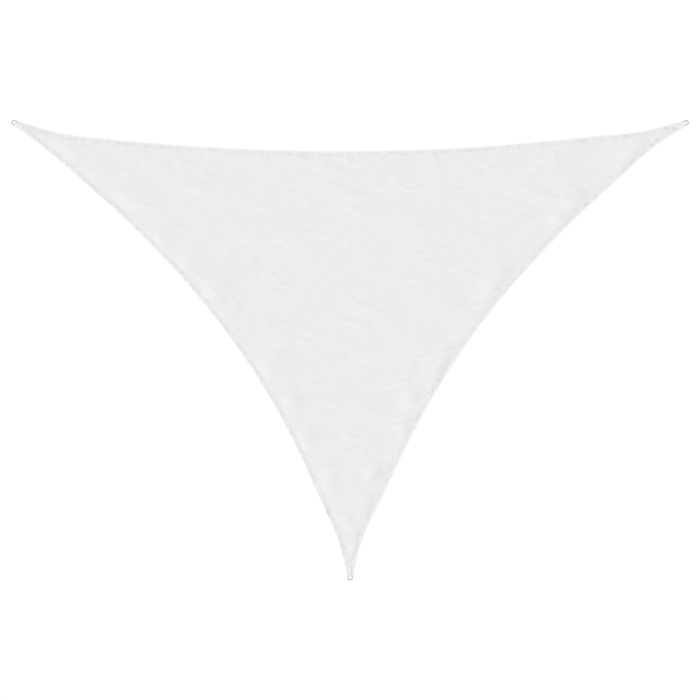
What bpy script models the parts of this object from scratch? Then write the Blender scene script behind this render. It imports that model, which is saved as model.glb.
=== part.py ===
"""A triangular shade sail, 5 x 5 x 6 m, laid out on the ground with its face up.

The cloth is one knitted sheet with a doubled hem round its three hollow-cut sides. At each
corner a webbing tab is folded round the straight bar of a steel D-ring and lies above and
below the corner of the cloth. Lengths are in metres, +Z is up, and the ground is z = 0.
"""

import math

import bmesh
import bpy
import numpy as np
from mathutils import Matrix, Vector
from mathutils.geometry import delaunay_2d_cdt

MM = 0.001

# Where the sail is pulled to: the middle of each ring's eye, and the way from it to the cloth.
TOP_SPAN = 5.956
UPPER_RING_Y = 2.0165
LOWER_RING_Y = -2.0174
CORNERS = (
    # name, x, y, heading to the cloth in degrees
    ("left", -TOP_SPAN / 2, UPPER_RING_Y, -26.0),
    ("foot", 0.0, LOWER_RING_Y, 90.0),
    ("right", TOP_SPAN / 2, UPPER_RING_Y, 205.0),
)

# The cut of the cloth. Each side runs anticlockwise from one corner to the next.
CLOTH_END_WIDTH = 58 * MM
CLOTH_END_FROM_EYE = 21 * MM
SIDES = ("left", "right", "top")
SIDE_HOLLOW = (
    # share of the side's length, then how far each side is cut in from a straight line, in mm
    (0.00, 0, 0, 0),
    (0.02, 35, 50, 35),
    (0.06, 91, 125, 91),
    (0.14, 183, 206, 143),
    (0.30, 336, 349, 228),
    (0.50, 419, 416, 269),
    (0.70, 363, 336, 238),
    (0.86, 211, 196, 163),
    (0.94, 119, 111, 106),
    (0.98, 46, 37, 40),
    (1.00, 0, 0, 0),
)

# The sheet and its hem, which is the cloth folded over twice and sewn down.
CLOTH_THICKNESS = 1.2 * MM
HEM_THICKNESS = 2.8 * MM
HEM_WIDTH = 45 * MM
HEM_STEP = 5 * MM

# The webbing tab at each corner.
TAB_WIDTH = 30 * MM
TAB_THICKNESS = 1.5 * MM
TAB_END_FROM_EYE = 91 * MM
TAB_FOLD_INSIDE = 3.5 * MM
TAB_FOLD_STEPS = 9
TAB_SLOPE = math.radians(20)
SEAT_GAP = 0.3 * MM

# The D-ring: round wire, a half-circle bow and a straight bar that the tab holds.
WIRE_RADIUS = 3 * MM
WIRE_SIDES = 12
WIRE_CORNER_RADIUS = WIRE_RADIUS / math.cos(math.pi / WIRE_SIDES)
BOW_RADIUS = 19.5 * MM
BOW_STEPS = 13
BAR_FROM_EYE = 13 * MM
BAR_BEND_RADIUS = 4.5 * MM
BAR_BEND_STEPS = 3

# The cloth lies on the ground, and these stand up from it. Beside the hem its slack rises in rolls.
EDGE_ROLLS = (
    # side, share of its length, half the roll's length, how far in its crest is, how wide it falls
    # away to the hem and to the middle of the sail, in m, then its height in mm
    ("left", 0.087, 0.20, 0.140, 0.090, 0.15, 4.5),
    ("left", 0.150, 0.17, 0.125, 0.080, 0.25, 4.5),
    ("left", 0.225, 0.26, 0.180, 0.120, 0.30, 6.5),
    ("left", 0.314, 0.13, 0.105, 0.070, 0.28, 6.0),
    ("left", 0.376, 0.15, 0.130, 0.090, 0.30, 5.0),
    ("left", 0.448, 0.17, 0.140, 0.100, 0.30, 6.5),
    ("left", 0.487, 0.12, 0.105, 0.070, 0.30, 4.5),
    ("left", 0.615, 0.18, 0.140, 0.100, 0.30, 6.0),
    ("left", 0.692, 0.20, 0.160, 0.110, 0.13, 5.0),
    ("left", 0.762, 0.16, 0.115, 0.080, 0.15, 5.0),
    ("left", 0.845, 0.20, 0.150, 0.100, 0.15, 5.0),
    ("left", 0.924, 0.12, 0.150, 0.090, 0.07, 3.5),
    ("right", 0.903, 0.25, 0.090, 0.060, 0.10, 5.5),
    ("right", 0.777, 0.16, 0.125, 0.085, 0.16, 8.5),
    ("right", 0.736, 0.12, 0.100, 0.070, 0.14, 6.5),
    ("right", 0.580, 0.26, 0.135, 0.095, 0.15, 9.5),
    ("right", 0.393, 0.27, 0.105, 0.075, 0.16, 8.5),
    ("right", 0.314, 0.15, 0.165, 0.120, 0.13, 6.5),
    ("right", 0.266, 0.12, 0.085, 0.060, 0.14, 5.0),
    ("right", 0.166, 0.16, 0.140, 0.100, 0.14, 8.5),
    ("right", 0.112, 0.14, 0.090, 0.065, 0.10, 5.5),
)
CREASES = (
    # the ridge's middle x and y, its length, and how wide it falls away on the right and on the
    # left of its heading, in m, then its heading in degrees and its height in mm
    (0.129, 0.385, 0.56, 0.080, 0.055, -19.0, 3.0),
    (0.014, 0.243, 0.60, 0.080, 0.070, -17.0, 2.1),
    (-1.354, 1.411, 0.42, 0.050, 0.090, -11.0, 3.2),
    (-0.776, 1.261, 0.40, 0.055, 0.065, 1.0, 4.0),
    (-0.141, 1.597, 0.46, 0.085, 0.070, -9.5, 3.6),
    (0.012, 1.372, 0.28, 0.050, 0.090, -4.0, 4.8),
    (0.464, 1.469, 0.24, 0.060, 0.080, -27.0, 1.8),
    (1.684, 1.372, 0.66, 0.105, 0.090, -22.0, 4.2),
    (1.083, 0.672, 0.26, 0.050, 0.040, -10.0, 2.1),
    (1.099, 0.763, 0.26, 0.050, 0.060, -10.0, 1.8),
    (-0.332, 0.154, 0.26, 0.055, 0.060, -36.0, 1.4),
    (-0.352, -0.294, 0.32, 0.060, 0.050, -22.0, 1.2),
    (0.498, -0.295, 0.30, 0.035, 0.060, 5.0, 3.4),
    (-0.183, -0.473, 0.44, 0.050, 0.100, -6.0, 1.8),
    (0.004, -0.774, 0.22, 0.040, 0.045, 2.0, 3.2),
    (1.073, 1.022, 0.30, 0.050, 0.045, -14.5, 1.8),
    (-0.415, 1.705, 0.20, 0.110, 0.050, -90.0, 2.4),
    (-0.020, 1.675, 0.16, 0.090, 0.045, -90.0, 2.2),
    (0.750, 1.665, 0.26, 0.120, 0.055, -90.0, 2.6),
    (1.810, 1.710, 0.20, 0.170, 0.055, -80.0, 3.2),
    (2.315, 1.860, 0.12, 0.080, 0.045, -70.0, 2.2),
)
BILLOWS = (
    # x, y, half length and half width in m, heading in degrees, height in mm
    (-1.45, 1.52, 0.85, 0.24, -9.0, 2.5),
    (-0.70, 1.02, 0.70, 0.22, -12.0, 2.5),
    (0.62, 1.12, 0.95, 0.22, -7.0, 2.5),
    (1.75, 1.58, 0.60, 0.20, -14.0, 2.0),
    (0.85, 0.42, 0.55, 0.20, -16.0, 3.0),
    (-0.62, 0.18, 0.42, 0.20, -20.0, 2.0),
    (0.10, -0.52, 0.42, 0.18, -12.0, 2.5),
    (0.02, -1.18, 0.16, 0.26, 4.0, 2.0),
)
CORNER_FLAT_FROM_EYE = 0.105
CORNER_RAMP = 0.10

# How closely the sheet's surface is divided.
SIDE_POINTS = {"left": 58, "right": 58, "top": 70}
ROW_DEPTHS = (HEM_WIDTH, HEM_WIDTH + HEM_STEP, 0.085, 0.130)
CORNER_ROWS = (0.050, 0.080, 0.105, 0.140, 0.175, 0.205)
CORNER_ROW_OFFSETS = (-14 * MM, 14 * MM)
CREASE_SPACING = 0.065
CREASE_ROWS = (0.0, -0.55, 0.55, -1.1, 1.1)
CREASE_POINT_GAP = 15 * MM
FIELD_SPACING = 0.092
FIELD_POINT_GAP = 0.055
TRACE_POINTS = 500
TRACE_NUDGE = 1e-4
MERGE_DISTANCE = 1e-6

# The finish of each piece.
CLOTH_COLOUR = (0.86, 0.86, 0.86, 1.0)
CLOTH_ROUGHNESS = 0.75
WEBBING_COLOUR = (0.88, 0.88, 0.88, 1.0)
WEBBING_ROUGHNESS = 0.7
STEEL_COLOUR = (0.56, 0.57, 0.58, 1.0)
STEEL_ROUGHNESS = 0.25


def smoothstep(value):
    """0 below 0, 1 above 1, and an even rise between them."""
    value = np.clip(value, 0.0, 1.0)
    return value * value * (3.0 - 2.0 * value)


def swell(distance):
    """1 at distance 0, falling in a soft bell to 0 at distance 1."""
    return np.cos(np.clip(distance, -1.0, 1.0) * math.pi / 2) ** 2


def smooth_curve(knots, values, at):
    """The smooth curve through (knots, values), read at each place in at."""
    knots = np.asarray(knots, float)
    values = np.asarray(values, float)
    at = np.asarray(at, float)
    steps = np.diff(knots)
    rises = np.diff(values) / steps
    inner = (rises[:-1] * steps[1:] + rises[1:] * steps[:-1]) / (steps[:-1] + steps[1:])
    slopes = np.concatenate([rises[:1], inner, rises[-1:]])
    piece = np.clip(np.searchsorted(knots, at, side="right") - 1, 0, len(steps) - 1)
    step = steps[piece]
    t = (at - knots[piece]) / step
    from_values = (2 * t**3 - 3 * t**2 + 1) * values[piece] + (3 * t**2 - 2 * t**3) * values[piece + 1]
    from_slopes = (t**3 - 2 * t**2 + t) * slopes[piece] + (t**3 - t**2) * slopes[piece + 1]
    return from_values + from_slopes * step


class Corner:
    """A corner of the sail: its ring's eye, and the directions along and across its tab."""

    def __init__(self, name, x, y, heading):
        self.name = name
        self.heading = math.radians(heading)
        self.eye = np.array([x, y])
        self.along = np.array([math.cos(self.heading), math.sin(self.heading)])
        self.across = np.array([-self.along[1], self.along[0]])

    def point(self, from_eye, aside):
        return self.eye + self.along * from_eye + self.across * aside

    def distance(self, points):
        """How far each point is from the eye, along the tab."""
        return (points - self.eye) @ self.along


class Side:
    """One hollow-cut side of the cloth, from a corner anticlockwise to the next."""

    def __init__(self, name, start, end, shares, hollow):
        self.name = name
        self.start = start
        self.chord = end - start
        self.length = float(np.hypot(*self.chord))
        self.inward = np.array([-self.chord[1], self.chord[0]]) / self.length
        self.shares = shares
        self.hollow = hollow
        self.trace = self.points(np.linspace(0.0, 1.0, TRACE_POINTS))

    def points(self, shares, depth=0.0):
        """Points at these shares of the side, moved in from the edge by depth."""
        shares = np.asarray(shares, float)
        spots = self.on_edge(shares)
        ahead = self.on_edge(shares + TRACE_NUDGE) - self.on_edge(shares - TRACE_NUDGE)
        ahead /= np.linalg.norm(ahead, axis=1)[:, None]
        return spots + np.stack([-ahead[:, 1], ahead[:, 0]], axis=1) * depth

    def on_edge(self, shares):
        cut_in = smooth_curve(self.shares, self.hollow, shares)
        return self.start + np.outer(shares, self.chord) + np.outer(cut_in, self.inward)

    def share(self, points):
        """How far along the side each point lies."""
        return (points - self.start) @ self.chord / self.length**2

    def depth(self, points):
        """How far each point is from the cut edge."""
        away = points[:, None, :] - self.trace[None, :, :]
        return np.sqrt((away**2).sum(axis=2).min(axis=1))


def make_corners():
    return [Corner(*row) for row in CORNERS]


def make_sides(corners):
    columns = np.array(SIDE_HOLLOW, float).T
    half = CLOTH_END_WIDTH / 2
    sides = []
    for number, name in enumerate(SIDES):
        start = corners[number].point(CLOTH_END_FROM_EYE, -half)
        end = corners[(number + 1) % len(corners)].point(CLOTH_END_FROM_EYE, half)
        sides.append(Side(name, start, end, columns[0], columns[number + 1] * MM))
    return sides


def in_own_axes(points, x, y, heading):
    """Distances of the points along and across a line through (x, y) with this heading."""
    angle = math.radians(heading)
    apart = points - np.array([x, y])
    along = apart @ np.array([math.cos(angle), math.sin(angle)])
    across = apart @ np.array([-math.sin(angle), math.cos(angle)])
    return along, across


def corner_fade(points, corners):
    """0 where a tab clasps the cloth, 1 a little way from every corner."""
    fades = [smoothstep((c.distance(points) - CORNER_FLAT_FROM_EYE) / CORNER_RAMP) for c in corners]
    return np.min(fades, axis=0)


def ground_clearance(points, corners, sides):
    """How high the underside of the cloth lies above the ground at each point."""
    height = np.zeros(len(points))
    for side in sides:
        share = side.share(points)
        depth = side.depth(points)
        for name, middle, half_length, crest, to_hem, to_middle, top in EDGE_ROLLS:
            if name == side.name:
                across = (depth - crest) / np.where(depth < crest, to_hem, to_middle)
                along = (share - middle) * side.length / half_length
                height += top * MM * swell(along) * swell(across)
    for x, y, length, right, left, heading, top in CREASES:
        along, across = in_own_axes(points, x, y, heading)
        across = across / np.where(across < 0.0, right, left)
        height += top * MM * swell(along / (length / 2)) * swell(across)
    for x, y, half_length, half_width, heading, top in BILLOWS:
        along, across = in_own_axes(points, x, y, heading)
        height += top * MM * swell(np.hypot(along / half_length, across / half_width))
    fade = corner_fade(points, corners)
    return height * fade + (TAB_THICKNESS + SEAT_GAP) * (1.0 - fade)


def hem_share(points, corners, sides):
    """1 on the hem and on the corners, 0 on the single cloth."""
    depth = np.min([side.depth(points) for side in sides], axis=0)
    hem = 1.0 - smoothstep((depth - HEM_WIDTH) / HEM_STEP)
    reinforced = 1.0 - corner_fade(points, corners)
    return np.maximum(hem, reinforced)


def clear_of(points, taken, gap):
    """Whether each point is at least gap from every point that is already taken."""
    away = points[:, None, :] - taken[None, :, :]
    return np.sqrt((away**2).sum(axis=2).min(axis=1)) >= gap


def nearest_side(points, sides):
    return np.min([side.depth(points) for side in sides], axis=0)


class SheetPlan:
    """The sheet's points and the lines between them that have to stay edges."""

    def __init__(self):
        self.points = np.zeros((0, 2))
        self.lines = []

    def add(self, points, line=False):
        first = len(self.points)
        self.points = np.vstack([self.points, points])
        if line:
            self.lines += [(first + i, first + i + 1) for i in range(len(points) - 1)]


def plan_sheet(corners, sides):
    """The outline first, then the hem rows, the corners, the creases and the open field."""
    plan = SheetPlan()
    for side in sides:
        plan.add(side.points(np.linspace(0.0, 1.0, SIDE_POINTS[side.name])))
    outline_count = len(plan.points)
    for side in sides:
        shares = np.linspace(0.0, 1.0, SIDE_POINTS[side.name])
        for depth in ROW_DEPTHS:
            row = side.points(shares, depth)
            others = [other.depth(row) for other in sides if other is not side]
            past_corners = np.min([c.distance(row) for c in corners], axis=0) > CORNER_ROWS[-1]
            plan.add(row[(np.min(others, axis=0) > depth + HEM_WIDTH) & past_corners], line=True)
    for corner in corners:
        rows = [corner.point(out, aside) for out in CORNER_ROWS for aside in CORNER_ROW_OFFSETS]
        plan.add(np.array(rows))
    add_creases(plan, sides)
    add_field(plan, sides)
    return plan, outline_count


def add_creases(plan, sides):
    """Rows of points along each crease: its ridge, then halfway down and at the foot on each side."""
    for x, y, length, right, left, heading, _ in CREASES:
        angle = math.radians(heading)
        along = np.array([math.cos(angle), math.sin(angle)])
        across = np.array([-along[1], along[0]])
        count = round(length / CREASE_SPACING)
        ridge = np.array([x, y]) + np.outer(np.linspace(-0.5, 0.5, count) * length, along)
        for share in CREASE_ROWS:
            row = ridge + across * share * (right if share < 0.0 else left)
            row = row[clear_of(row, plan.points, CREASE_POINT_GAP)]
            plan.add(row[nearest_side(row, sides) > ROW_DEPTHS[-1]])


def add_field(plan, sides):
    """Points in even rows over the rest of the cloth, every other row set half a step on."""
    row_height = FIELD_SPACING * math.sqrt(3) / 2
    low = plan.points.min(axis=0)
    high = plan.points.max(axis=0)
    rows = int((high[1] - low[1]) / row_height) + 1
    columns = int((high[0] - low[0]) / FIELD_SPACING) + 1
    grid = np.array(
        [
            (low[0] + (column + 0.5 * (row % 2)) * FIELD_SPACING, low[1] + row * row_height)
            for row in range(rows)
            for column in range(columns)
        ]
    )
    grid = grid[inside_outline(grid, sides)]
    grid = grid[nearest_side(grid, sides) > ROW_DEPTHS[-1]]
    grid = grid[clear_of(grid, plan.points, FIELD_POINT_GAP)]
    plan.add(grid)


def inside_outline(points, sides):
    """Whether each point is inside the closed outline, by the crossings of a line to its right."""
    trace = np.vstack([side.trace for side in sides])
    ahead = np.roll(trace, -1, axis=0)
    inside = np.zeros(len(points), bool)
    for (x0, y0), (x1, y1) in zip(trace, ahead):
        spans = (y0 > points[:, 1]) != (y1 > points[:, 1])
        if spans.any():
            crossing = x0 + (points[:, 1] - y0) / (y1 - y0) * (x1 - x0)
            inside ^= spans & (points[:, 0] < crossing)
    return inside


def build_sail(corners, sides, collection):
    """The cloth: its underside is triangulated, raised into its folds and thickened upwards."""
    plan, outline_count = plan_sheet(corners, sides)
    flat = [Vector(point) for point in plan.points.tolist()]
    outline = [list(range(outline_count))]
    inside_only = 1
    result = delaunay_2d_cdt(flat, plan.lines, outline, inside_only, MERGE_DISTANCE)
    spots, faces = result[0], result[2]
    points = np.array([tuple(spot) for spot in spots])
    heights = ground_clearance(points, corners, sides)
    mesh = bpy.data.meshes.new("sail")
    mesh.from_pydata(np.column_stack([points, heights]).tolist(), [], faces)
    sail = add_object("sail", mesh, collection, cloth_material())

    hem = sail.vertex_groups.new(name="hem")
    for index, share in enumerate(hem_share(points, corners, sides)):
        hem.add([index], float(share), "REPLACE")
    thicken = sail.modifiers.new("Cloth and hem", "SOLIDIFY")
    thicken.thickness = HEM_THICKNESS
    thicken.offset = 1.0
    thicken.vertex_group = hem.name
    thicken.thickness_vertex_group = CLOTH_THICKNESS / HEM_THICKNESS
    return sail


def tab_path():
    """The middle of the webbing, as (distance from the eye, height): under, round the bar, over."""
    half = TAB_THICKNESS / 2
    fold = TAB_FOLD_INSIDE + half
    bar_height = TAB_THICKNESS + TAB_FOLD_INSIDE
    upper = TAB_THICKNESS + SEAT_GAP + HEM_THICKNESS + SEAT_GAP + half
    path = [(TAB_END_FROM_EYE, half), ((TAB_END_FROM_EYE + BAR_FROM_EYE) / 2, half)]
    for angle in np.linspace(-math.pi / 2, -math.pi * 1.5 - TAB_SLOPE, TAB_FOLD_STEPS + 1):
        path.append((BAR_FROM_EYE + fold * math.cos(angle), bar_height + fold * math.sin(angle)))
    run_down = (path[-1][1] - upper) / math.tan(TAB_SLOPE)
    path.append((path[-1][0] + run_down, upper))
    path.append(((TAB_END_FROM_EYE + path[-1][0]) / 2, upper))
    path.append((TAB_END_FROM_EYE, upper))
    return path


def build_tab(corner, collection):
    """Webbing folded round the ring's bar: a strip along the path, thickened both ways."""
    shape = bmesh.new()
    spots = [shape.verts.new((u, -TAB_WIDTH / 2, z)) for u, z in tab_path()]
    for first, second in zip(spots, spots[1:]):
        shape.edges.new((first, second))
    swept = bmesh.ops.extrude_edge_only(shape, edges=shape.edges[:])["geom"]
    moved = [item for item in swept if isinstance(item, bmesh.types.BMVert)]
    bmesh.ops.translate(shape, verts=moved, vec=(0.0, TAB_WIDTH, 0.0))
    bmesh.ops.recalc_face_normals(shape, faces=shape.faces[:])
    mesh = bpy.data.meshes.new("tab")
    shape.to_mesh(mesh)
    shape.free()
    tab = add_object(f"tab_{corner.name}", mesh, collection, webbing_material())
    thicken = tab.modifiers.new("Webbing", "SOLIDIFY")
    thicken.thickness = TAB_THICKNESS
    thicken.offset = 0.0
    thicken.use_even_offset = True
    tab.location = (*corner.eye, 0.0)
    tab.rotation_euler = (0.0, 0.0, corner.heading)
    return tab


def arc(centre, radius, start, end, steps):
    angles = np.linspace(math.radians(start), math.radians(end), steps + 1)
    return [(centre[0] + radius * math.cos(a), centre[1] + radius * math.sin(a)) for a in angles]


def ring_outline():
    """The middle of the wire, seen from above, with the eye at the origin and the bar at +X."""
    bend_x = BAR_FROM_EYE - BAR_BEND_RADIUS
    bend_y = BOW_RADIUS - BAR_BEND_RADIUS
    outline = arc((0.0, 0.0), BOW_RADIUS, 90, 270, BOW_STEPS)
    outline += arc((bend_x, -bend_y), BAR_BEND_RADIUS, -90, 0, BAR_BEND_STEPS)
    outline += arc((bend_x, bend_y), BAR_BEND_RADIUS, 0, 90, BAR_BEND_STEPS)
    return outline


def build_ring(corner, collection):
    """A closed wire. Its bar is up in the fold of the tab, and its bow rests on the ground."""
    outline = ring_outline()
    curve = bpy.data.curves.new("ring", "CURVE")
    curve.dimensions = "3D"
    curve.bevel_depth = WIRE_CORNER_RADIUS
    curve.bevel_resolution = WIRE_SIDES // 2 - 2
    curve.twist_mode = "Z_UP"
    spline = curve.splines.new("POLY")
    spline.points.add(len(outline) - 1)
    spline.use_cyclic_u = True
    for point, (x, y) in zip(spline.points, outline):
        point.co = (x, y, 0.0, 1.0)
        point.tilt = math.pi / WIRE_SIDES
    ring = add_object(f"ring_{corner.name}", curve, collection, steel_material())

    bar_height = TAB_THICKNESS + TAB_FOLD_INSIDE
    slope = math.asin((bar_height - WIRE_CORNER_RADIUS) / (BAR_FROM_EYE + BOW_RADIUS))
    eye_height = bar_height - BAR_FROM_EYE * math.sin(slope)
    turn = Matrix.Rotation(corner.heading, 4, "Z") @ Matrix.Rotation(-slope, 4, "Y")
    ring.matrix_world = Matrix.Translation((*corner.eye, eye_height)) @ turn
    return ring


def add_object(name, data, collection, material):
    item = bpy.data.objects.new(name, data)
    data.materials.append(material)
    collection.objects.link(item)
    return item


def principled(name, colour, roughness, metallic):
    """The material of this name, made once."""
    if name in bpy.data.materials:
        return bpy.data.materials[name]
    material = bpy.data.materials.new(name)
    material.use_nodes = True
    shader = material.node_tree.nodes["Principled BSDF"]
    shader.inputs["Base Color"].default_value = colour
    shader.inputs["Roughness"].default_value = roughness
    shader.inputs["Metallic"].default_value = metallic
    return material


def cloth_material():
    return principled("Knitted polyethylene cloth", CLOTH_COLOUR, CLOTH_ROUGHNESS, 0.0)


def webbing_material():
    return principled("Woven polyester webbing", WEBBING_COLOUR, WEBBING_ROUGHNESS, 0.0)


def steel_material():
    return principled("Polished stainless steel", STEEL_COLOUR, STEEL_ROUGHNESS, 1.0)


def clear_scene():
    for item in list(bpy.data.objects):
        bpy.data.objects.remove(item, do_unlink=True)


def main():
    clear_scene()
    collection = bpy.data.collections.new("Shade sail")
    bpy.context.scene.collection.children.link(collection)
    corners = make_corners()
    sides = make_sides(corners)
    build_sail(corners, sides, collection)
    for corner in corners:
        build_tab(corner, collection)
        build_ring(corner, collection)


main()
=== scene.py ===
"""The looks of a triangular shade sail, 5 x 5 x 6 m, laid out on the ground with its face up.

The knitted cloth lies in its folds and creases, with a sewn hem along its three hollow-cut sides.
At each corner a webbing tab is folded round the bar of a steel D-ring and sewn over the cloth.
Lengths are in metres, +Z is up, and the ground is z = 0.
"""

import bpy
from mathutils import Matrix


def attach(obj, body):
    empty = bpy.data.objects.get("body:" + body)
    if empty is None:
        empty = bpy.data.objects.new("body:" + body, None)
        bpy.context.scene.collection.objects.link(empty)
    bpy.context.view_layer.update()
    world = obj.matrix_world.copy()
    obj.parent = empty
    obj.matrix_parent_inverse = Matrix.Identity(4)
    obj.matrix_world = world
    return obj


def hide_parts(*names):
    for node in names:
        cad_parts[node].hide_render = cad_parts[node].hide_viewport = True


bl_info = {
    "name": "Shade sail",
    "version": (1, 0, 0),
    "blender": (4, 5, 0),
    "location": "3D View > Sidebar > Shade sail",
    "description": "Makes a shade sail's cloth, hem, sewing, webbing tabs and rings, and its stage",
    "category": "Add Mesh",
}

import math

import bpy
import numpy as np
from mathutils import Matrix, Vector
from mathutils.geometry import delaunay_2d_cdt
from mathutils.kdtree import KDTree

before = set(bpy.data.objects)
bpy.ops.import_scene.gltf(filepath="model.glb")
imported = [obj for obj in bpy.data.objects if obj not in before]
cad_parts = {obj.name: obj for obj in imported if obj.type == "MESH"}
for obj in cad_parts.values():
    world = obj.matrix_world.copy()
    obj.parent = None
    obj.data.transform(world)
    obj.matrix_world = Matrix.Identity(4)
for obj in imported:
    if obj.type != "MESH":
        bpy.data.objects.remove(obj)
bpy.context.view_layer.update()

MM = 0.001
BODY = "root"

# Where the sail is pulled to: the middle of each ring's eye, and the way from it to the cloth.
TOP_SPAN = 5.956
UPPER_RING_Y = 2.0165
LOWER_RING_Y = -2.0174
CORNERS = (
    # name, x, y, heading to the cloth in degrees
    ("left", -TOP_SPAN / 2, UPPER_RING_Y, -26.0),
    ("foot", 0.0, LOWER_RING_Y, 90.0),
    ("right", TOP_SPAN / 2, UPPER_RING_Y, 205.0),
)

# The cut of the cloth. Each side runs anticlockwise from one corner to the next.
CLOTH_END_WIDTH = 58 * MM
CLOTH_END_FROM_EYE = 21 * MM
SIDES = ("left", "right", "top")
SIDE_HOLLOW = (
    # share of the side's length, then how far each side is cut in from a straight line, in mm
    (0.00, 0, 0, 0),
    (0.02, 35, 50, 35),
    (0.06, 91, 125, 91),
    (0.14, 183, 206, 143),
    (0.30, 336, 349, 228),
    (0.50, 419, 416, 269),
    (0.70, 363, 336, 238),
    (0.86, 211, 196, 163),
    (0.94, 119, 111, 106),
    (0.98, 46, 37, 40),
    (1.00, 0, 0, 0),
)

# The sheet's thickness.
CLOTH_THICKNESS = 1.2 * MM
# The single cloth ends this deep in, inside the fold of its hem.
CLOTH_EDGE_DEPTH = 2.0 * MM

# Its hem: the cloth's edge folded over twice and sewn down.
HEM_WIDTH = 45 * MM
HEM_THICKNESS = 2.1 * MM
HEM_STEP = 8 * MM
HEM_SECTION = (
    # depth in from the edge and height over the cloth's underside, in mm, and the share of a
    # pucker that lifts this point: up round the fold, across the top, down the inner edge, back
    (1.60, 0.00, 0.0),
    (0.45, 0.25, 0.0),
    (0.00, 0.70, 0.1),
    (0.45, 1.20, 0.3),
    (1.60, 1.55, 0.5),
    (4.50, 1.80, 0.6),
    (7.00, 1.82, 0.7),
    (11.0, 1.96, 1.0),
    (18.0, 2.00, 1.0),
    (27.0, 2.00, 1.0),
    (34.0, 1.90, 1.0),
    (37.5, 1.74, 0.8),
    (39.5, 1.72, 0.8),
    (42.5, 1.62, 0.6),
    (44.4, 1.48, 0.3),
    (45.0, 1.37, 0.1),
    (44.4, 1.29, 0.0),
    (24.0, 1.27, 0.0),
    (2.20, 1.27, 0.0),
    (1.70, 0.60, 0.0),
)
# The points of the section on its top, where the stitches lie.
HEM_TOP = slice(2, 16)
# Two hems meet at a mitre in the middle of a corner, and turn to it over this length. A corner
# narrows a hem over this share of its side at most, and the way across the hem is taken to close
# in on the corner's middle by this much at least.
MITRE_GAP = 0.3 * MM
CORNER_TURN = 90 * MM
NEAR_CORNER = 0.25
LEAST_CLOSING = 0.2

# The sewing of the hem: how deep in each row of stitches lies, and how far from a corner it starts.
STITCH_ROWS = (6 * MM, 38.5 * MM)
STITCH_FROM_CORNER = (18 * MM, 110 * MM)
STITCH_SIDES = 5
# How deep a stitch's ends dive into the cloth and how far the middle of the thread stands out of
# it, in thicknesses of the thread, and how much of the stitch's length each end takes.
STITCH_DIVE = 0.9
THREAD_STANDS_OUT = -0.05
STITCH_SHOULDER = 0.18

# The webbing tab at each corner.
TAB_WIDTH = 30 * MM
TAB_THICKNESS = 1.2 * MM
TAB_END_FROM_EYE = 91 * MM
TAB_FOLD_INSIDE = 3.5 * MM
TAB_SLOPE = math.radians(11)
TAB_UNDER_POINTS = 14
TAB_FOLD_STEPS = 20
TAB_OVER_POINTS = 12
TAB_COLUMNS = (-1.0, -0.88, -0.6, -0.3, 0.0, 0.3, 0.6, 0.88, 1.0)
WEBBING_EDGE_RADIUS = 0.5 * MM
WEBBING_EDGE_SEGMENTS = 3
WEBBING_EDGE_FROM = math.radians(60)
SEAT_GAP = 0.3 * MM
PRESSED_GAP = 0.05 * MM
# The box with a cross that is sewn through it, which pulls its edges down over a short ramp.
BOX_FROM_EYE = (38 * MM, 85 * MM)
BOX_HALF_WIDTH = 10 * MM
TAB_SEWN_RAMP = 13 * MM
TAB_EDGE_DROP = 0.3 * MM
TAB_STITCH_LENGTH = 3.6 * MM
TAB_THREAD_SHARE = 0.8

# The D-ring: round wire, a half-circle bow and a straight bar that the tab holds.
WIRE_RADIUS = 3 * MM
WIRE_SIDES = 24
BOW_RADIUS = 19.5 * MM
BOW_STEPS = 40
BAR_FROM_EYE = 13 * MM
BAR_HEIGHT = TAB_THICKNESS + TAB_FOLD_INSIDE
BAR_BEND_RADIUS = 4.5 * MM
BAR_BEND_STEPS = 10
GROUND_GAP = 0.1 * MM
WELD_DISTANCE = 0.01 * MM

# The cloth lies on the ground, and these stand up from it. Beside the hem its slack rises in rolls.
EDGE_ROLLS = (
    # side, share of its length, half the roll's length, how far in its crest is, how wide it falls
    # away to the hem and to the middle of the sail, in m, then its height in mm
    ("left", 0.087, 0.20, 0.140, 0.090, 0.15, 4.5),
    ("left", 0.150, 0.17, 0.125, 0.080, 0.25, 4.5),
    ("left", 0.225, 0.26, 0.180, 0.120, 0.30, 6.5),
    ("left", 0.314, 0.13, 0.105, 0.070, 0.28, 6.0),
    ("left", 0.376, 0.15, 0.130, 0.090, 0.30, 5.0),
    ("left", 0.448, 0.17, 0.140, 0.100, 0.30, 6.5),
    ("left", 0.487, 0.12, 0.105, 0.070, 0.30, 4.5),
    ("left", 0.615, 0.18, 0.140, 0.100, 0.30, 6.0),
    ("left", 0.692, 0.20, 0.160, 0.110, 0.13, 5.0),
    ("left", 0.762, 0.16, 0.115, 0.080, 0.15, 5.0),
    ("left", 0.845, 0.20, 0.150, 0.100, 0.15, 5.0),
    ("left", 0.924, 0.12, 0.150, 0.090, 0.07, 3.5),
    ("right", 0.903, 0.25, 0.090, 0.060, 0.10, 5.5),
    ("right", 0.777, 0.16, 0.125, 0.085, 0.16, 8.5),
    ("right", 0.736, 0.12, 0.100, 0.070, 0.14, 6.5),
    ("right", 0.580, 0.26, 0.135, 0.095, 0.15, 9.5),
    ("right", 0.393, 0.27, 0.105, 0.075, 0.16, 8.5),
    ("right", 0.314, 0.15, 0.165, 0.120, 0.13, 6.5),
    ("right", 0.266, 0.12, 0.085, 0.060, 0.14, 5.0),
    ("right", 0.166, 0.16, 0.140, 0.100, 0.14, 8.5),
    ("right", 0.112, 0.14, 0.090, 0.065, 0.10, 5.5),
)
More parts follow.
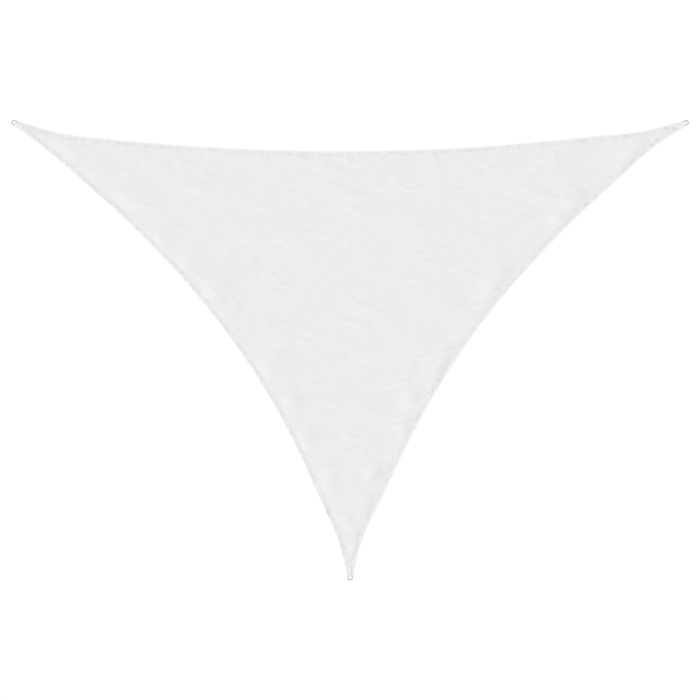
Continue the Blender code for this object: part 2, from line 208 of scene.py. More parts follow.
CREASES = (
    # the ridge's middle x and y, its length, and how wide it falls away on the right and on the
    # left of its heading, in m, then its heading in degrees and its height in mm
    (0.129, 0.385, 0.56, 0.080, 0.055, -19.0, 3.4),
    (0.282, 0.340, 0.26, 0.045, 0.040, -19.0, 1.6),
    (0.014, 0.243, 0.60, 0.080, 0.070, -17.0, 2.1),
    (-1.354, 1.411, 0.42, 0.050, 0.090, -11.0, 3.2),
    (-0.776, 1.261, 0.40, 0.055, 0.065, 1.0, 4.0),
    (-0.141, 1.597, 0.46, 0.085, 0.070, -9.5, 3.6),
    (-0.162, 1.465, 0.36, 0.060, 0.035, -9.5, 1.5),
    (0.012, 1.372, 0.28, 0.050, 0.090, -4.0, 4.8),
    (0.004, 1.265, 0.26, 0.040, 0.040, -4.0, 2.6),
    (0.464, 1.469, 0.24, 0.060, 0.080, -27.0, 1.8),
    (0.411, 1.366, 0.22, 0.035, 0.040, -27.0, 1.3),
    (1.684, 1.372, 0.66, 0.105, 0.090, -22.0, 4.2),
    (1.083, 0.672, 0.26, 0.050, 0.040, -10.0, 2.1),
    (1.099, 0.763, 0.26, 0.050, 0.060, -10.0, 1.8),
    (0.971, 0.724, 0.30, 0.035, 0.040, -3.0, 1.8),
    (-0.648, 0.744, 0.24, 0.040, 0.035, -52.0, 0.9),
    (-0.571, 0.804, 0.22, 0.045, 0.050, -52.0, 0.8),
    (-0.332, 0.154, 0.26, 0.055, 0.060, -36.0, 1.4),
    (-0.396, 0.065, 0.24, 0.040, 0.040, -36.0, 0.9),
    (-0.363, 0.819, 0.20, 0.060, 0.030, -21.0, 0.9),
    (0.137, 0.569, 0.15, 0.050, 0.030, -39.0, 0.7),
    (-0.659, 0.494, 0.22, 0.035, 0.060, -5.0, 1.5),
    (-0.631, 0.068, 0.46, 0.030, 0.060, -9.0, 0.9),
    (-0.638, -0.043, 0.28, 0.030, 0.050, -2.0, 1.0),
    (-0.352, -0.294, 0.32, 0.060, 0.050, -22.0, 1.2),
    (0.498, -0.295, 0.30, 0.035, 0.060, 5.0, 3.4),
    (0.492, -0.220, 0.28, 0.030, 0.035, 5.0, 2.0),
    (-0.192, -0.566, 0.44, 0.050, 0.040, -6.0, 1.6),
    (-0.183, -0.473, 0.44, 0.035, 0.100, -6.0, 1.6),
    (0.004, -0.774, 0.22, 0.040, 0.045, 2.0, 3.2),
    (0.000, -0.676, 0.22, 0.040, 0.060, 2.0, 2.4),
    (-0.147, -1.021, 0.20, 0.050, 0.030, -17.0, 1.1),
    (0.973, 0.600, 0.50, 0.040, 0.025, -5.0, 0.9),
    (1.073, 1.022, 0.30, 0.050, 0.045, -14.5, 1.8),
    (-0.415, 1.705, 0.20, 0.110, 0.050, -90.0, 2.4),
    (-0.020, 1.675, 0.16, 0.090, 0.045, -90.0, 2.2),
    (0.750, 1.665, 0.26, 0.120, 0.055, -90.0, 2.6),
    (1.810, 1.710, 0.20, 0.170, 0.055, -80.0, 3.2),
    (2.315, 1.860, 0.12, 0.080, 0.045, -70.0, 2.2),
    (1.235, 1.590, 0.14, 0.060, 0.040, -90.0, 1.0),
    (-1.085, 1.700, 0.14, 0.060, 0.045, -90.0, 1.2),
)
BILLOWS = (
    # x, y, half length and half width in m, heading in degrees, height in mm
    (-1.45, 1.52, 0.85, 0.24, -9.0, 2.5),
    (-0.70, 1.02, 0.70, 0.22, -12.0, 2.5),
    (0.62, 1.12, 0.95, 0.22, -7.0, 2.5),
    (1.75, 1.58, 0.60, 0.20, -14.0, 2.0),
    (0.85, 0.42, 0.55, 0.20, -16.0, 3.0),
    (-0.62, 0.18, 0.42, 0.20, -20.0, 2.0),
    (0.10, -0.52, 0.42, 0.18, -12.0, 2.5),
    (0.02, -1.18, 0.16, 0.26, 4.0, 2.0),
)

# Painted light and shade that stand in for the shading of small folds, where the cloth looks paler
# or darker: patches, then across the hem. A painted light of 1 is one step paler than the cloth's
# own colour, and -1 one step darker.
PAINTED_LIGHT_STEP = 0.025
PAINTED_LIGHT_RANGE = (-6.0, 3.0)
PAINTED_PATCHES = (
    # x, y, half length and half width in m, heading in degrees, then how pale
    (-0.200, -1.426, 0.075, 0.030, -60.0, -5.0),
    (0.106, -1.434, 0.130, 0.035, 80.0, -2.0),
    (0.078, -1.628, 0.065, 0.030, 60.0, -3.4),
    (0.155, -1.485, 0.035, 0.025, 60.0, -3.2),
    (0.112, -1.660, 0.045, 0.018, 65.0, -3.0),
    (0.170, -1.500, 0.035, 0.018, 60.0, -3.0),
    (-0.031, -1.749, 0.030, 0.022, -80.0, -2.4),
    (-0.062, -1.745, 0.050, 0.024, -75.0, -3.4),
    (-0.064, -1.800, 0.060, 0.012, -75.0, -2.6),
    (-0.040, -1.830, 0.040, 0.014, -80.0, 1.6),
    (0.012, -1.745, 0.090, 0.020, 90.0, 2.0),
    (0.062, -1.740, 0.050, 0.024, 65.0, -3.6),
    (0.038, -1.795, 0.050, 0.020, 60.0, -2.6),
    (0.022, -1.840, 0.060, 0.014, 85.0, -2.0),
    (-0.012, -1.865, 0.022, 0.012, 70.0, -2.6),
    (0.024, -1.862, 0.012, 0.008, 90.0, 2.4),
    (0.002, -1.934, 0.010, 0.010, 0.0, -3.4),
    (0.022, -1.934, 0.010, 0.008, 0.0, -2.6),
    (-0.025, -1.950, 0.050, 0.010, 90.0, -1.6),
    (0.022, -1.965, 0.030, 0.012, 90.0, 1.6),
    (-2.895, 2.000, 0.024, 0.014, -26.0, -1.0),
    (-2.921, 1.980, 0.030, 0.014, -30.0, -2.6),
    (-2.855, 1.955, 0.090, 0.014, -32.0, -2.2),
    (-2.812, 1.975, 0.080, 0.018, -20.0, -1.4),
    (-2.715, 1.935, 0.070, 0.020, -18.0, -2.4),
    (-2.735, 1.885, 0.050, 0.022, -35.0, 1.8),
    (2.806, 1.969, 0.048, 0.026, 15.0, -4.4),
    (2.875, 1.964, 0.050, 0.024, -24.0, -4.2),
    (2.837, 1.926, 0.040, 0.018, 30.0, -2.8),
    (2.680, 1.812, 0.044, 0.028, -45.0, -5.0),
    (2.726, 1.868, 0.040, 0.022, 30.0, -2.4),
    (2.620, 1.921, 0.050, 0.024, 10.0, -1.8),
    (2.700, 1.930, 0.070, 0.026, 12.0, 1.6),
    (2.678, 1.865, 0.030, 0.020, 25.0, 1.4),
    (2.509, 1.691, 0.040, 0.026, 40.0, -2.8),
    (2.523, 1.757, 0.050, 0.026, 20.0, -1.4),
    (2.448, 1.902, 0.055, 0.025, 8.0, -3.6),
    (2.403, 1.606, 0.050, 0.030, 40.0, -2.2),
    (2.092, 1.296, 0.040, 0.030, 45.0, -3.0),
    (2.004, 1.252, 0.060, 0.035, 45.0, -2.4),
    (1.951, 1.163, 0.035, 0.025, 45.0, -2.4),
    (1.862, 1.252, 0.080, 0.040, 10.0, 1.8),
    (1.920, 1.345, 0.060, 0.040, 45.0, -2.2),
    (2.100, 1.290, 0.035, 0.030, 45.0, -2.4),
    (1.300, 0.550, 0.080, 0.045, 50.0, -2.0),
    (1.090, 0.440, 0.090, 0.060, 50.0, 1.4),
    (0.690, -0.170, 0.090, 0.050, 50.0, -1.4),
    (0.815, -0.210, 0.240, 0.035, 60.0, -1.8),
    (0.590, -0.615, 0.050, 0.030, 58.0, -2.0),
    (0.190, -1.160, 0.110, 0.045, 65.0, -2.6),
    (0.075, -1.245, 0.060, 0.050, 60.0, 1.0),
    (0.565, -0.370, 0.070, 0.040, 60.0, 1.4),
    (0.660, -0.330, 0.070, 0.040, 70.0, -1.0),
    (-2.280, 1.455, 0.045, 0.025, -40.0, -2.6),
    (-2.145, 1.335, 0.035, 0.025, -42.0, -2.2),
    (-2.350, 1.500, 0.030, 0.020, -40.0, 2.0),
    (-1.980, 1.840, 0.150, 0.022, -5.0, -1.4),
    (-1.650, 1.818, 0.060, 0.022, -5.0, 2.0),
    (-2.190, 1.540, 0.080, 0.045, -35.0, 1.2),
    (-2.440, 1.840, 0.080, 0.040, -10.0, 1.2),
)
# Painted light and shade across each hem, set for each side on its own: they stand in for and even
# out the shading that the key light gives the hem's fold and step.
PAINTED_HEM_LIGHT = (
    # depth in mm, then how pale along the left, right and top sides
    (0.0, 3.6, 5.4, 4.6),
    (6.0, 2.1, 3.8, 2.6),
    (13.0, -0.4, 0.7, 0.0),
    (21.0, -0.9, -0.9, -0.6),
    (30.0, 0.0, -0.9, -0.4),
    (40.0, 0.7, -0.9, -0.8),
    (48.0, 0.0, -0.8, -0.3),
    (60.0, 0.0, 0.0, 0.0),
)

# A tab clasps the cloth flat this far from the eye, and over the ramp it lets go.
CORNER_FLAT_FROM_EYE = 0.105
CORNER_RAMP = 0.10

# Fine wrinkles all over the cloth, left from its folding. Most run across, and a little downhill.
# Their spots are drawn in the box round the cloth, several times as many as are kept.
WRINKLE_SEED = 7
WRINKLE_COUNT = 520
WRINKLE_DRAWS = 3
WRINKLE_LENGTH = (0.07, 0.20)
WRINKLE_HALF_WIDTH = (0.014, 0.026)
WRINKLE_HEADING = -6.0
WRINKLE_HEADING_SPREAD = 9.0
WRINKLE_LEAST = 0.25

# Puckers that the sewing draws up across the hem, and a little way into the cloth beside it. Their
# middles lie this deep in the hem in mm, some by its outer edge and the others by its inner edge.
PUCKER_SEED = 11
PUCKER_SPACING = (0.044, 0.084)
PUCKER_HALF_LENGTH = (0.012, 0.022)
PUCKER_SLANT = 0.8
PUCKER_OUTER_SHARE = 0.5
PUCKER_OUTER = (6, 16)
PUCKER_INNER = (28, 42)
PUCKER_REACH = (0.018, 0.040)
PUCKER_LEAST = 0.2
# Pucker crests are painted paler, a painted highlight, by this many steps at the tallest.
PUCKER_PAINTED_HIGHLIGHT = 2.4
# How deep in they rise, stand and end in the cloth, with the height that they have in the hem at
# this share of its width.
PUCKER_IN_CLOTH = (0.040, 0.070, 0.125)
PUCKER_SHARE_OF_HEM = 0.8

# Dents that the sewing pulls into the hem, with painted shade in them.
DENT_SEED = 23
DENTS = {
    # side: least and most spacing, least and most half length in m, the most that they slant, and
    # how many steps of painted shade the darkest has
    "left": (0.026, 0.100, 0.014, 0.034, 0.9, 10.5),
    "right": (0.050, 0.185, 0.018, 0.058, 0.6, 7.6),
    "top": (0.045, 0.145, 0.020, 0.075, 0.3, 6.8),
}
DENT_MIDDLE = (0.015, 0.039)
DENT_HALF_DEPTH = (0.012, 0.018)
DENT_LEAST = 0.3
DENT_DEEPEST = 0.35 * MM
# The darkest that the painted light and shade on the hem may go, in steps.
DARKEST_PAINTED_SHADE = -3.0
# Near a corner the painted highlights of puckers and the painted shade of dents show less: this
# much at it, and in full from this far off.
SHOWS_AT_CORNER = 0.4
CALM_FROM_CORNER = 0.7

# How closely the sheet's surface is divided.
SIDE_STEP = 12.5 * MM
ROW_DEPTHS = (24 * MM, 43 * MM, 50 * MM, 60 * MM, 74 * MM)
# Deep rows end where the hem narrows to less than this share of its width.
FULL_WIDTH = 0.999
FIELD_ACROSS = 24 * MM
FIELD_ALONG = 12.5 * MM
FIELD_DEPTH = 86 * MM
POINT_GAP = 7 * MM
CREASE_STEP = 20 * MM
CREASE_ROWS = (-0.95, -0.7, -0.45, -0.22, 0.0, 0.22, 0.5, 0.8)
TRACE_POINTS = 3000
TRACE_NUDGE = 1e-4
# Inside is told from outside by a line through every tenth traced point.
TRACE_STRIDE = 10
MERGE_DISTANCE = 1e-6

# Edges sharper than this many degrees are left sharp.
CLOTH_SHARP_FROM = 40
HEM_SHARP_FROM = 50
WEBBING_SHARP_FROM = 50
THREAD_SHARP_FROM = 80

# What a finish reads from its mesh: the map of the flat cut, and the light and shade painted on
# each point.
CUT_MAP = "Cut"
PAINTED_LIGHT = "painted_light"
STREAK_HEADING = math.radians(-5)
# A wave texture with a scale of 1 repeats every pi / 10 along its axis.
WAVE_REPEAT = math.pi / 10

# The stage.
FLOOR_SIZE = 400.0
FLOOR_DROP = 0.5 * MM
KEY_DISTANCE = 10
VIEW_CENTRE = (0.0, 0.0018)


def linear(code):
    """An sRGB hex colour as linear red, green and blue."""
    shares = [int(code[start : start + 2], 16) / 255 for start in (1, 3, 5)]
    return tuple(s / 12.92 if s <= 0.04045 else ((s + 0.055) / 1.055) ** 2.4 for s in shares)


# What settings of one kind have in common.
SHARE = {"min": 0.0, "subtype": "FACTOR"}
LENGTH = {"precision": 5, "unit": "LENGTH"}
COLOUR = {"min": 0.0, "max": 1.0, "subtype": "COLOR"}


class SHADESAIL_PG_cloth(bpy.types.PropertyGroup):
    """The cloth and the hem along its sides."""

    fold_share: bpy.props.FloatProperty(
        name="Fold height",
        description="How high the rolls and billows stand, as a share of the heights in the tables",
        default=1.0,
        max=2.0,
        **SHARE,
    )
    crease_share: bpy.props.FloatProperty(
        name="Crease height",
        description="How high the creases stand, as a share of the height in the table",
        default=1.0,
        max=2.0,
        **SHARE,
    )
    wrinkle_height: bpy.props.FloatProperty(
        name="Wrinkle height",
        description="The height of the tallest fine wrinkle",
        default=0.8 * MM,
        min=0.0,
        max=2 * MM,
        **LENGTH,
    )
    pucker_height: bpy.props.FloatProperty(
        name="Pucker height",
        description="The height of the tallest pucker that the sewing draws up in the hem",
        default=2.4 * MM,
        min=0.0,
        max=4 * MM,
        **LENGTH,
    )
    cloth_colour: bpy.props.FloatVectorProperty(
        name="Cloth", description="The colour of the cloth", default=linear("#E2E2E2"), **COLOUR
    )
    hem_colour: bpy.props.FloatVectorProperty(
        name="Hem",
        description="The colour of the hem, where three layers lie together",
        default=linear("#E2E2E2"),
        **COLOUR,
    )


class SHADESAIL_PG_sewing(bpy.types.PropertyGroup):
    """The stitches of the hem and of the corner tabs."""

    stitch_length: bpy.props.FloatProperty(
        name="Stitch length",
        description="The length of a stitch in the hem",
        default=5.2 * MM,
        min=2 * MM,
        max=10 * MM,
        **LENGTH,
    )
    stitch_gap: bpy.props.FloatProperty(
        name="Stitch gap",
        description="The cloth that shows between two stitches",
        default=1.3 * MM,
        min=0.5 * MM,
        max=5 * MM,
        **LENGTH,
    )
    thread_thickness: bpy.props.FloatProperty(
        name="Thread",
        description="The thickness of the thread",
        default=0.9 * MM,
        min=0.3 * MM,
        max=2 * MM,
        **LENGTH,
    )
    hem_thread_colour: bpy.props.FloatVectorProperty(
        name="Hem thread",
        description="The colour of the thread in the hem",
        default=linear("#E6E6E6"),
        **COLOUR,
    )
    tab_thread_colour: bpy.props.FloatVectorProperty(
        name="Tab thread",
        description="The colour of the thread in the corner tabs",
        default=linear("#DEDEDE"),
        **COLOUR,
    )


class SHADESAIL_PG_fittings(bpy.types.PropertyGroup):
    """The finish of the webbing tabs and the rings."""

    webbing_colour: bpy.props.FloatVectorProperty(
        name="Webbing", description="The colour of the webbing", default=linear("#E8E8E8"), **COLOUR
    )
    steel_colour: bpy.props.FloatVectorProperty(
        name="Steel",
        description="The colour that the steel gives to what it reflects",
        default=linear("#98999C"),
        **COLOUR,
    )
    steel_roughness: bpy.props.FloatProperty(
        name="Steel roughness",
        description="How far the polish spreads a reflection, from 0, a mirror, to 1, matt",
        default=0.32,
        max=1.0,
        **SHARE,
    )


class SHADESAIL_PG_stage(bpy.types.PropertyGroup):
    """The floor, the light and the camera."""

    view_width: bpy.props.FloatProperty(
        name="View width",
        description="How much of the ground the view takes in from side to side",
        default=6.2066,
        min=1.0,
        unit="LENGTH",
    )
    lens: bpy.props.FloatProperty(
        name="Lens", description="The focal length of the lens in mm", default=85.0, min=10.0
    )
    key_bearing: bpy.props.FloatProperty(
        name="Key bearing",
        description="Where the soft key light stands, turning from +X to +Y",
        default=math.radians(-155.0),
        subtype="ANGLE",
    )
    key_height: bpy.props.FloatProperty(
        name="Key height",
        description="How high the key light stands over the ground",
        default=math.radians(32.0),
        subtype="ANGLE",
    )
    key_spread: bpy.props.FloatProperty(
        name="Key spread",
        description="How wide the key light looks from the sail, which softens its shadows",
        default=math.radians(30.0),
        subtype="ANGLE",
    )
    key_strength: bpy.props.FloatProperty(
        name="Key strength",
        description="The light of the key on a surface that faces it, in watts per square metre",
        default=2.48,
        min=0.0,
    )
    room_strength: bpy.props.FloatProperty(
        name="Room strength", description="The even light from all round", default=0.742, min=0.0
    )
    table_glow: bpy.props.FloatProperty(
        name="Table glow",
        description="The light that comes up through the white table",
        default=0.61,
        min=0.0,
    )
    floor_colour: bpy.props.FloatVectorProperty(
        name="Floor", description="The colour of the floor", default=linear("#A2A2A2"), **COLOUR
    )


class SHADESAIL_PG_sail(bpy.types.PropertyGroup):
    """All that a user of the sail would change."""

    cloth: bpy.props.PointerProperty(type=SHADESAIL_PG_cloth)
    sewing: bpy.props.PointerProperty(type=SHADESAIL_PG_sewing)
    fittings: bpy.props.PointerProperty(type=SHADESAIL_PG_fittings)
    stage: bpy.props.PointerProperty(type=SHADESAIL_PG_stage)


# ------------------------------------------------------------------ the cut and how it lies


def smoothstep(value):
    """0 below 0, 1 above 1, and an even rise between them."""
    value = np.clip(value, 0.0, 1.0)
    return value * value * (3.0 - 2.0 * value)


def swell(distance):
    """1 at distance 0, falling in a soft bell to 0 at distance 1."""
    return np.cos(np.clip(distance, -1.0, 1.0) * math.pi / 2) ** 2


def smooth_curve(knots, values, at):
    """The smooth curve through (knots, values), read at each place in at."""
    steps = np.diff(knots)
    rises = np.diff(values) / steps
    inner = (rises[:-1] * steps[1:] + rises[1:] * steps[:-1]) / (steps[:-1] + steps[1:])
    slopes = np.concatenate([rises[:1], inner, rises[-1:]])
    piece = np.clip(np.searchsorted(knots, at, side="right") - 1, 0, len(steps) - 1)
    step = steps[piece]
    t = (at - knots[piece]) / step
    behind, ahead = 2 * t**3 - 3 * t**2 + 1, 3 * t**2 - 2 * t**3
    from_values = behind * values[piece] + ahead * values[piece + 1]
    from_slopes = (t**3 - 2 * t**2 + t) * slopes[piece] + (t**3 - t**2) * slopes[piece + 1]
    return from_values + from_slopes * step


def unit(vectors):
    """The vectors, each with a length of 1."""
    return vectors / np.linalg.norm(vectors, axis=1)[:, None]


def turned_left(vectors):
    """The vectors, each turned a quarter to its left."""
    return np.stack([-vectors[:, 1], vectors[:, 0]], axis=1)


def make_tree(points):
    """A tree that finds the nearest of the points."""
    tree = KDTree(len(points))
    for index, (x, y) in enumerate(points.tolist()):
        tree.insert((x, y, 0.0), index)
    tree.balance()
    return tree


def nearest(tree, points):
    """The index of the tree's nearest point to each point, and how far off it is."""
    found = [tree.find((x, y, 0.0)) for x, y in points.tolist()]
    return np.array([f[1] for f in found]), np.array([f[2] for f in found])


def in_own_axes(points, x, y, heading):
    """Distances of the points along and across a line through (x, y) with this heading."""
    angle = math.radians(heading)
    apart = points - np.array([x, y])
    along = apart @ np.array([math.cos(angle), math.sin(angle)])
    across = apart @ np.array([-math.sin(angle), math.cos(angle)])
    return along, across


def gathered(rows, runs, depths):
    """The sum at each place of slanting swells. Each row is where a swell's middle is along the
    edge, its half length, its slant, how deep in its middle is, its half depth and its height."""
    total = np.zeros(len(runs))
    for at, half_length, slant, middle, half_depth, height in rows:
        along = runs - at - slant * (depths - middle)
        near = np.abs(along) < half_length
        across = (depths[near] - middle) / half_depth
        total[near] += height * swell(along[near] / half_length) * swell(across)
    return total


class Corner:
    """A corner of the sail: its ring's eye, and the directions along and across its tab."""

    def __init__(self, name, x, y, heading):
        self.name = name
        self.heading = math.radians(heading)
        self.eye = np.array([x, y])
        self.along = np.array([math.cos(self.heading), math.sin(self.heading)])
        self.across = np.array([-self.along[1], self.along[0]])

    def point(self, from_eye, aside):
        return self.eye + self.along * from_eye + self.across * aside

    def distance(self, points):
        """How far each point is from the eye, along the tab."""
        return (points - self.eye) @ self.along

    def place(self):
        """What turns and moves a fitting, made with the eye at the origin, to the corner."""
        return Matrix.Translation((*self.eye, 0.0)) @ Matrix.Rotation(self.heading, 4, "Z")


def make_corners():
    return [Corner(*row) for row in CORNERS]


class Side:
    """One hollow-cut side of the cloth, from a corner anticlockwise to the next."""

    def __init__(self, name, first, last, shares, hollow):
        half = CLOTH_END_WIDTH / 2
        self.name = name
        self.first = first
        self.last = last
        self.start = first.point(CLOTH_END_FROM_EYE, -half)
        self.chord = last.point(CLOTH_END_FROM_EYE, half) - self.start
        self.span = float(np.hypot(*self.chord))
        self.inward = np.array([-self.chord[1], self.chord[0]]) / self.span
        self.knots = shares
        self.hollow = hollow
        self.shares = np.linspace(0.0, 1.0, TRACE_POINTS)
        self.trace = self.on_edge(self.shares)
        steps = np.linalg.norm(np.diff(self.trace, axis=0), axis=1)
        self.runs = np.concatenate([[0.0], np.cumsum(steps)])
        self.total = float(self.runs[-1])
        self.tree = make_tree(self.trace)

    def on_edge(self, shares):
        cut_in = smooth_curve(self.knots, self.hollow, shares)
        return self.start + np.outer(shares, self.chord) + np.outer(cut_in, self.inward)

    def share(self, points):
        """How far along the straight line between the side's ends each point lies."""
        return (points - self.start) @ self.chord / self.span**2

    def place(self, points):
        """How far along the edge each point lies, and how far in from it."""
        index, depths = nearest(self.tree, points)
        return self.runs[index], depths

    def section(self, runs):
        """At each distance along the edge: the spot there, the way in across the hem, and how far
        in the hem goes, which is to the middle of a corner where the corner is narrow."""
        shares = np.interp(runs, self.runs, self.shares)
        spots = self.on_edge(shares)
        onward = self.on_edge(shares + TRACE_NUDGE) - self.on_edge(shares - TRACE_NUDGE)
        ways = unit(turned_left(onward))
        ends = ((self.first, 1.0, runs), (self.last, -1.0, self.total - runs))
        for corner, inward, off in ends:
            turn = 1.0 - smoothstep(off / CORNER_TURN)
            ways = ways + turn[:, None] * (corner.across * inward - ways)
        ways = unit(ways)
        reach = np.full(len(runs), HEM_WIDTH)
        for corner, inward, off in ends:
            to_middle = np.abs((spots - corner.eye) @ corner.across) - MITRE_GAP / 2
            closing = np.maximum(ways @ corner.across * inward, LEAST_CLOSING)
            narrowed = np.minimum(reach, to_middle / closing)
            reach = np.where(off < self.total * NEAR_CORNER, narrowed, reach)
        return spots, ways, reach

    def inside(self, runs, depths):
        """Points this far in from the edge, which close up to the middle of a narrow corner."""
        spots, ways, reach = self.section(runs)
        nose = CLOTH_EDGE_DEPTH
        drawn_in = nose + (depths - nose) * (reach - nose) / (HEM_WIDTH - nose)
        return spots + ways * np.where(depths > nose, drawn_in, depths)[:, None]


class Sail:
    """The cut of the sail, and how high its underside lies over the ground."""

    def __init__(self, cloth):
        self.corners = make_corners()
        columns = np.array(SIDE_HOLLOW, float).T
        self.sides = []
        for number, name in enumerate(SIDES):
            first = self.corners[number]
            last = self.corners[(number + 1) % len(self.corners)]
            self.sides.append(Side(name, first, last, columns[0], columns[number + 1] * MM))
        self.fold_share = cloth.fold_share
        self.crease_share = cloth.crease_share
        self.wrinkle_height = cloth.wrinkle_height
        self.pucker_height = cloth.pucker_height
        self.wrinkles = self.crumple()
        numbered = list(enumerate(self.sides))
        self.puckers = {side.name: self.draw_up(side, number) for number, side in numbered}
        self.dents = {side.name: self.draw_in(side, number) for number, side in numbered}

    def crumple(self):
        """Fine wrinkles at random: x, y, half length, half width, heading and height of each."""
        random = np.random.RandomState(WRINKLE_SEED)
        low = np.min([side.trace.min(axis=0) for side in self.sides], axis=0)
        high = np.max([side.trace.max(axis=0) for side in self.sides], axis=0)
        spots = random.uniform(low, high, (WRINKLE_COUNT * WRINKLE_DRAWS, 2))
        spots = spots[self.is_inside(spots)][:WRINKLE_COUNT]
        count = len(spots)
        return np.column_stack(
            [
                spots,
                random.uniform(*WRINKLE_LENGTH, count) / 2,
                random.uniform(*WRINKLE_HALF_WIDTH, count),
                random.normal(WRINKLE_HEADING, WRINKLE_HEADING_SPREAD, count),
                self.wrinkle_height * random.uniform(WRINKLE_LEAST, 1.0, count),
            ]
        )

    def draw_up(self, side, number):
        """Puckers along a side's hem, a row for each as gathered reads it."""
        random = np.random.RandomState(PUCKER_SEED + number)
        rows = []
        at = PUCKER_SPACING[0]
        while at < side.total - PUCKER_SPACING[0]:
            is_outer = random.uniform() < PUCKER_OUTER_SHARE
            middle = random.uniform(*(PUCKER_OUTER if is_outer else PUCKER_INNER))
            rows.append(
                (
                    at,
                    random.uniform(*PUCKER_HALF_LENGTH),
                    random.uniform(-PUCKER_SLANT, PUCKER_SLANT),
                    middle * MM,
                    random.uniform(*PUCKER_REACH),
                    self.pucker_height * random.uniform(PUCKER_LEAST, 1.0),
                )
            )
            at += random.uniform(*PUCKER_SPACING)
        return rows

    def draw_in(self, side, number):
        """Dents along a side's hem, a row for each as gathered reads it, the deepest 1 high."""
        random = np.random.RandomState(DENT_SEED + number)
        closest, farthest, shortest, longest, slant, _ = DENTS[side.name]
        rows = []
        at = closest
        while at < side.total - closest:
            rows.append(
                (
                    at,
                    random.uniform(shortest, longest),
                    random.uniform(-slant, slant),
                    random.uniform(*DENT_MIDDLE),
                    random.uniform(*DENT_HALF_DEPTH),
                    random.uniform(DENT_LEAST, 1.0),
                )
            )
            at += random.uniform(closest, farthest)
        return rows

    def is_inside(self, points):
        """Whether each point is on the cloth, by the crossings of a line to its right."""
        trace = np.vstack([side.trace[::TRACE_STRIDE] for side in self.sides])
        ahead = np.roll(trace, -1, axis=0)
        inside = np.zeros(len(points), bool)
        for (x0, y0), (x1, y1) in zip(trace, ahead):
            spans = (y0 > points[:, 1]) != (y1 > points[:, 1])
            if spans.any():
                crossing = x0 + (points[:, 1] - y0) / (y1 - y0) * (x1 - x0)
                inside ^= spans & (points[:, 0] < crossing)
        return inside

    def puckered(self, side, runs, depths):
        """How far the puckers of a side's hem lift it at each place."""
        return gathered(self.puckers[side.name], runs, depths)

    def dented(self, side, runs, depths):
        """How far each place lies in a dent of a side's hem, from 0 to about 1."""
        return gathered(self.dents[side.name], runs, depths)

    def corner_fade(self, points):
        """0 where a tab clasps the cloth, 1 a little way from every corner."""
        off = np.min([corner.distance(points) for corner in self.corners], axis=0)
        return smoothstep((off - CORNER_FLAT_FROM_EYE) / CORNER_RAMP)

    def underside(self, points):
        """How high the underside of the cloth lies above the ground at each point."""
        height = np.zeros(len(points))
        for side in self.sides:
            height += self.beside(side, points)
        for x, y, length, right, left, heading, top in CREASES:
            along, across = in_own_axes(points, x, y, heading)
            across = np.where(across < 0.0, across / right, across / left)
            height += self.crease_share * top * MM * swell(along / (length / 2)) * swell(across)
        for x, y, half_length, half_width, heading, top in BILLOWS:
            along, across = in_own_axes(points, x, y, heading)
            off = np.hypot(along / half_length, across / half_width)
            height += self.fold_share * top * MM * swell(off)
        for x, y, half_length, half_width, heading, top in self.wrinkles:
            near = np.abs(points - np.array([x, y])).max(axis=1) < half_length
            along, across = in_own_axes(points[near], x, y, heading)
            height[near] += top * swell(along / half_length) * swell(across / half_width)
        fade = self.corner_fade(points)
        return height * fade + (TAB_THICKNESS + SEAT_GAP) * (1.0 - fade)

    def beside(self, side, points):
        """How far the cloth beside one side is lifted, by its slack and by the sewing."""
        runs, depths = side.place(points)
        share = side.share(points)
        height = np.zeros(len(points))
        for name, middle, half_length, crest, to_hem, to_middle, top in EDGE_ROLLS:
            if name == side.name:
                across = (depths - crest) / np.where(depths < crest, to_hem, to_middle)
                along = (share - middle) * side.span / half_length
                height += self.fold_share * top * MM * swell(along) * swell(across)
        start, full, end = PUCKER_IN_CLOTH
        band = smoothstep((depths - start) / (full - start))
        band = band * (1.0 - smoothstep((depths - full) / (end - full)))
        near = band > 0.0
        in_hem = np.full(near.sum(), HEM_WIDTH * PUCKER_SHARE_OF_HEM)
        height[near] += band[near] * self.puckered(side, runs[near], in_hem)
        return height


# ------------------------------------------------------------------ finishes


def set_inputs(tree, node, inputs):
    """Sets each input of the node to a value, or joins it to another node's output."""
    for name, value in inputs.items():
        if isinstance(value, bpy.types.NodeSocket):
            tree.links.new(value, node.inputs[name])
        else:
            node.inputs[name].default_value = value


def add_node(tree, kind, inputs=None, **choices):
    """A node of this kind with its settings, each input set to a value or joined to an output."""
    node = tree.nodes.new(kind)
    for name, value in choices.items():
        setattr(node, name, value)
    set_inputs(tree, node, inputs or {})
    return node


def new_material(name):
    """A material with its node tree and its shader."""
    material = bpy.data.materials.new(name)
    material.use_nodes = True
    tree = material.node_tree
    return material, tree, tree.nodes["Principled BSDF"]


def shaded(tree, finish, pattern, between, shares):
    """The finish times a share, which runs from the first to the second as the pattern rises."""
    run = {"Value": pattern, "From Min": between[0], "From Max": between[1]}
    run |= {"To Min": shares[0], "To Max": shares[1]}
    share = add_node(tree, "ShaderNodeMapRange", run).outputs["Result"]
    mix = {0: 1.0, 6: finish, 7: share}
    mixed = add_node(tree, "ShaderNodeMix", mix, data_type="RGBA", blend_type="MULTIPLY")
    return mixed.outputs[2]


def cloth_patches(tree, cut, length, depth, detail, heading=0.0):
    """Soft patches about this long and this deep on the flat cloth."""
    stretch = {"Vector": cut, "Scale": (length, depth, 1.0), "Rotation": (0.0, 0.0, heading)}
    place = add_node(tree, "ShaderNodeMapping", stretch, vector_type="TEXTURE").outputs["Vector"]
    noise = {"Vector": place, "Scale": 1.0, "Detail": detail, "Roughness": 0.55}
    return add_node(tree, "ShaderNodeTexNoise", noise).outputs["Fac"]


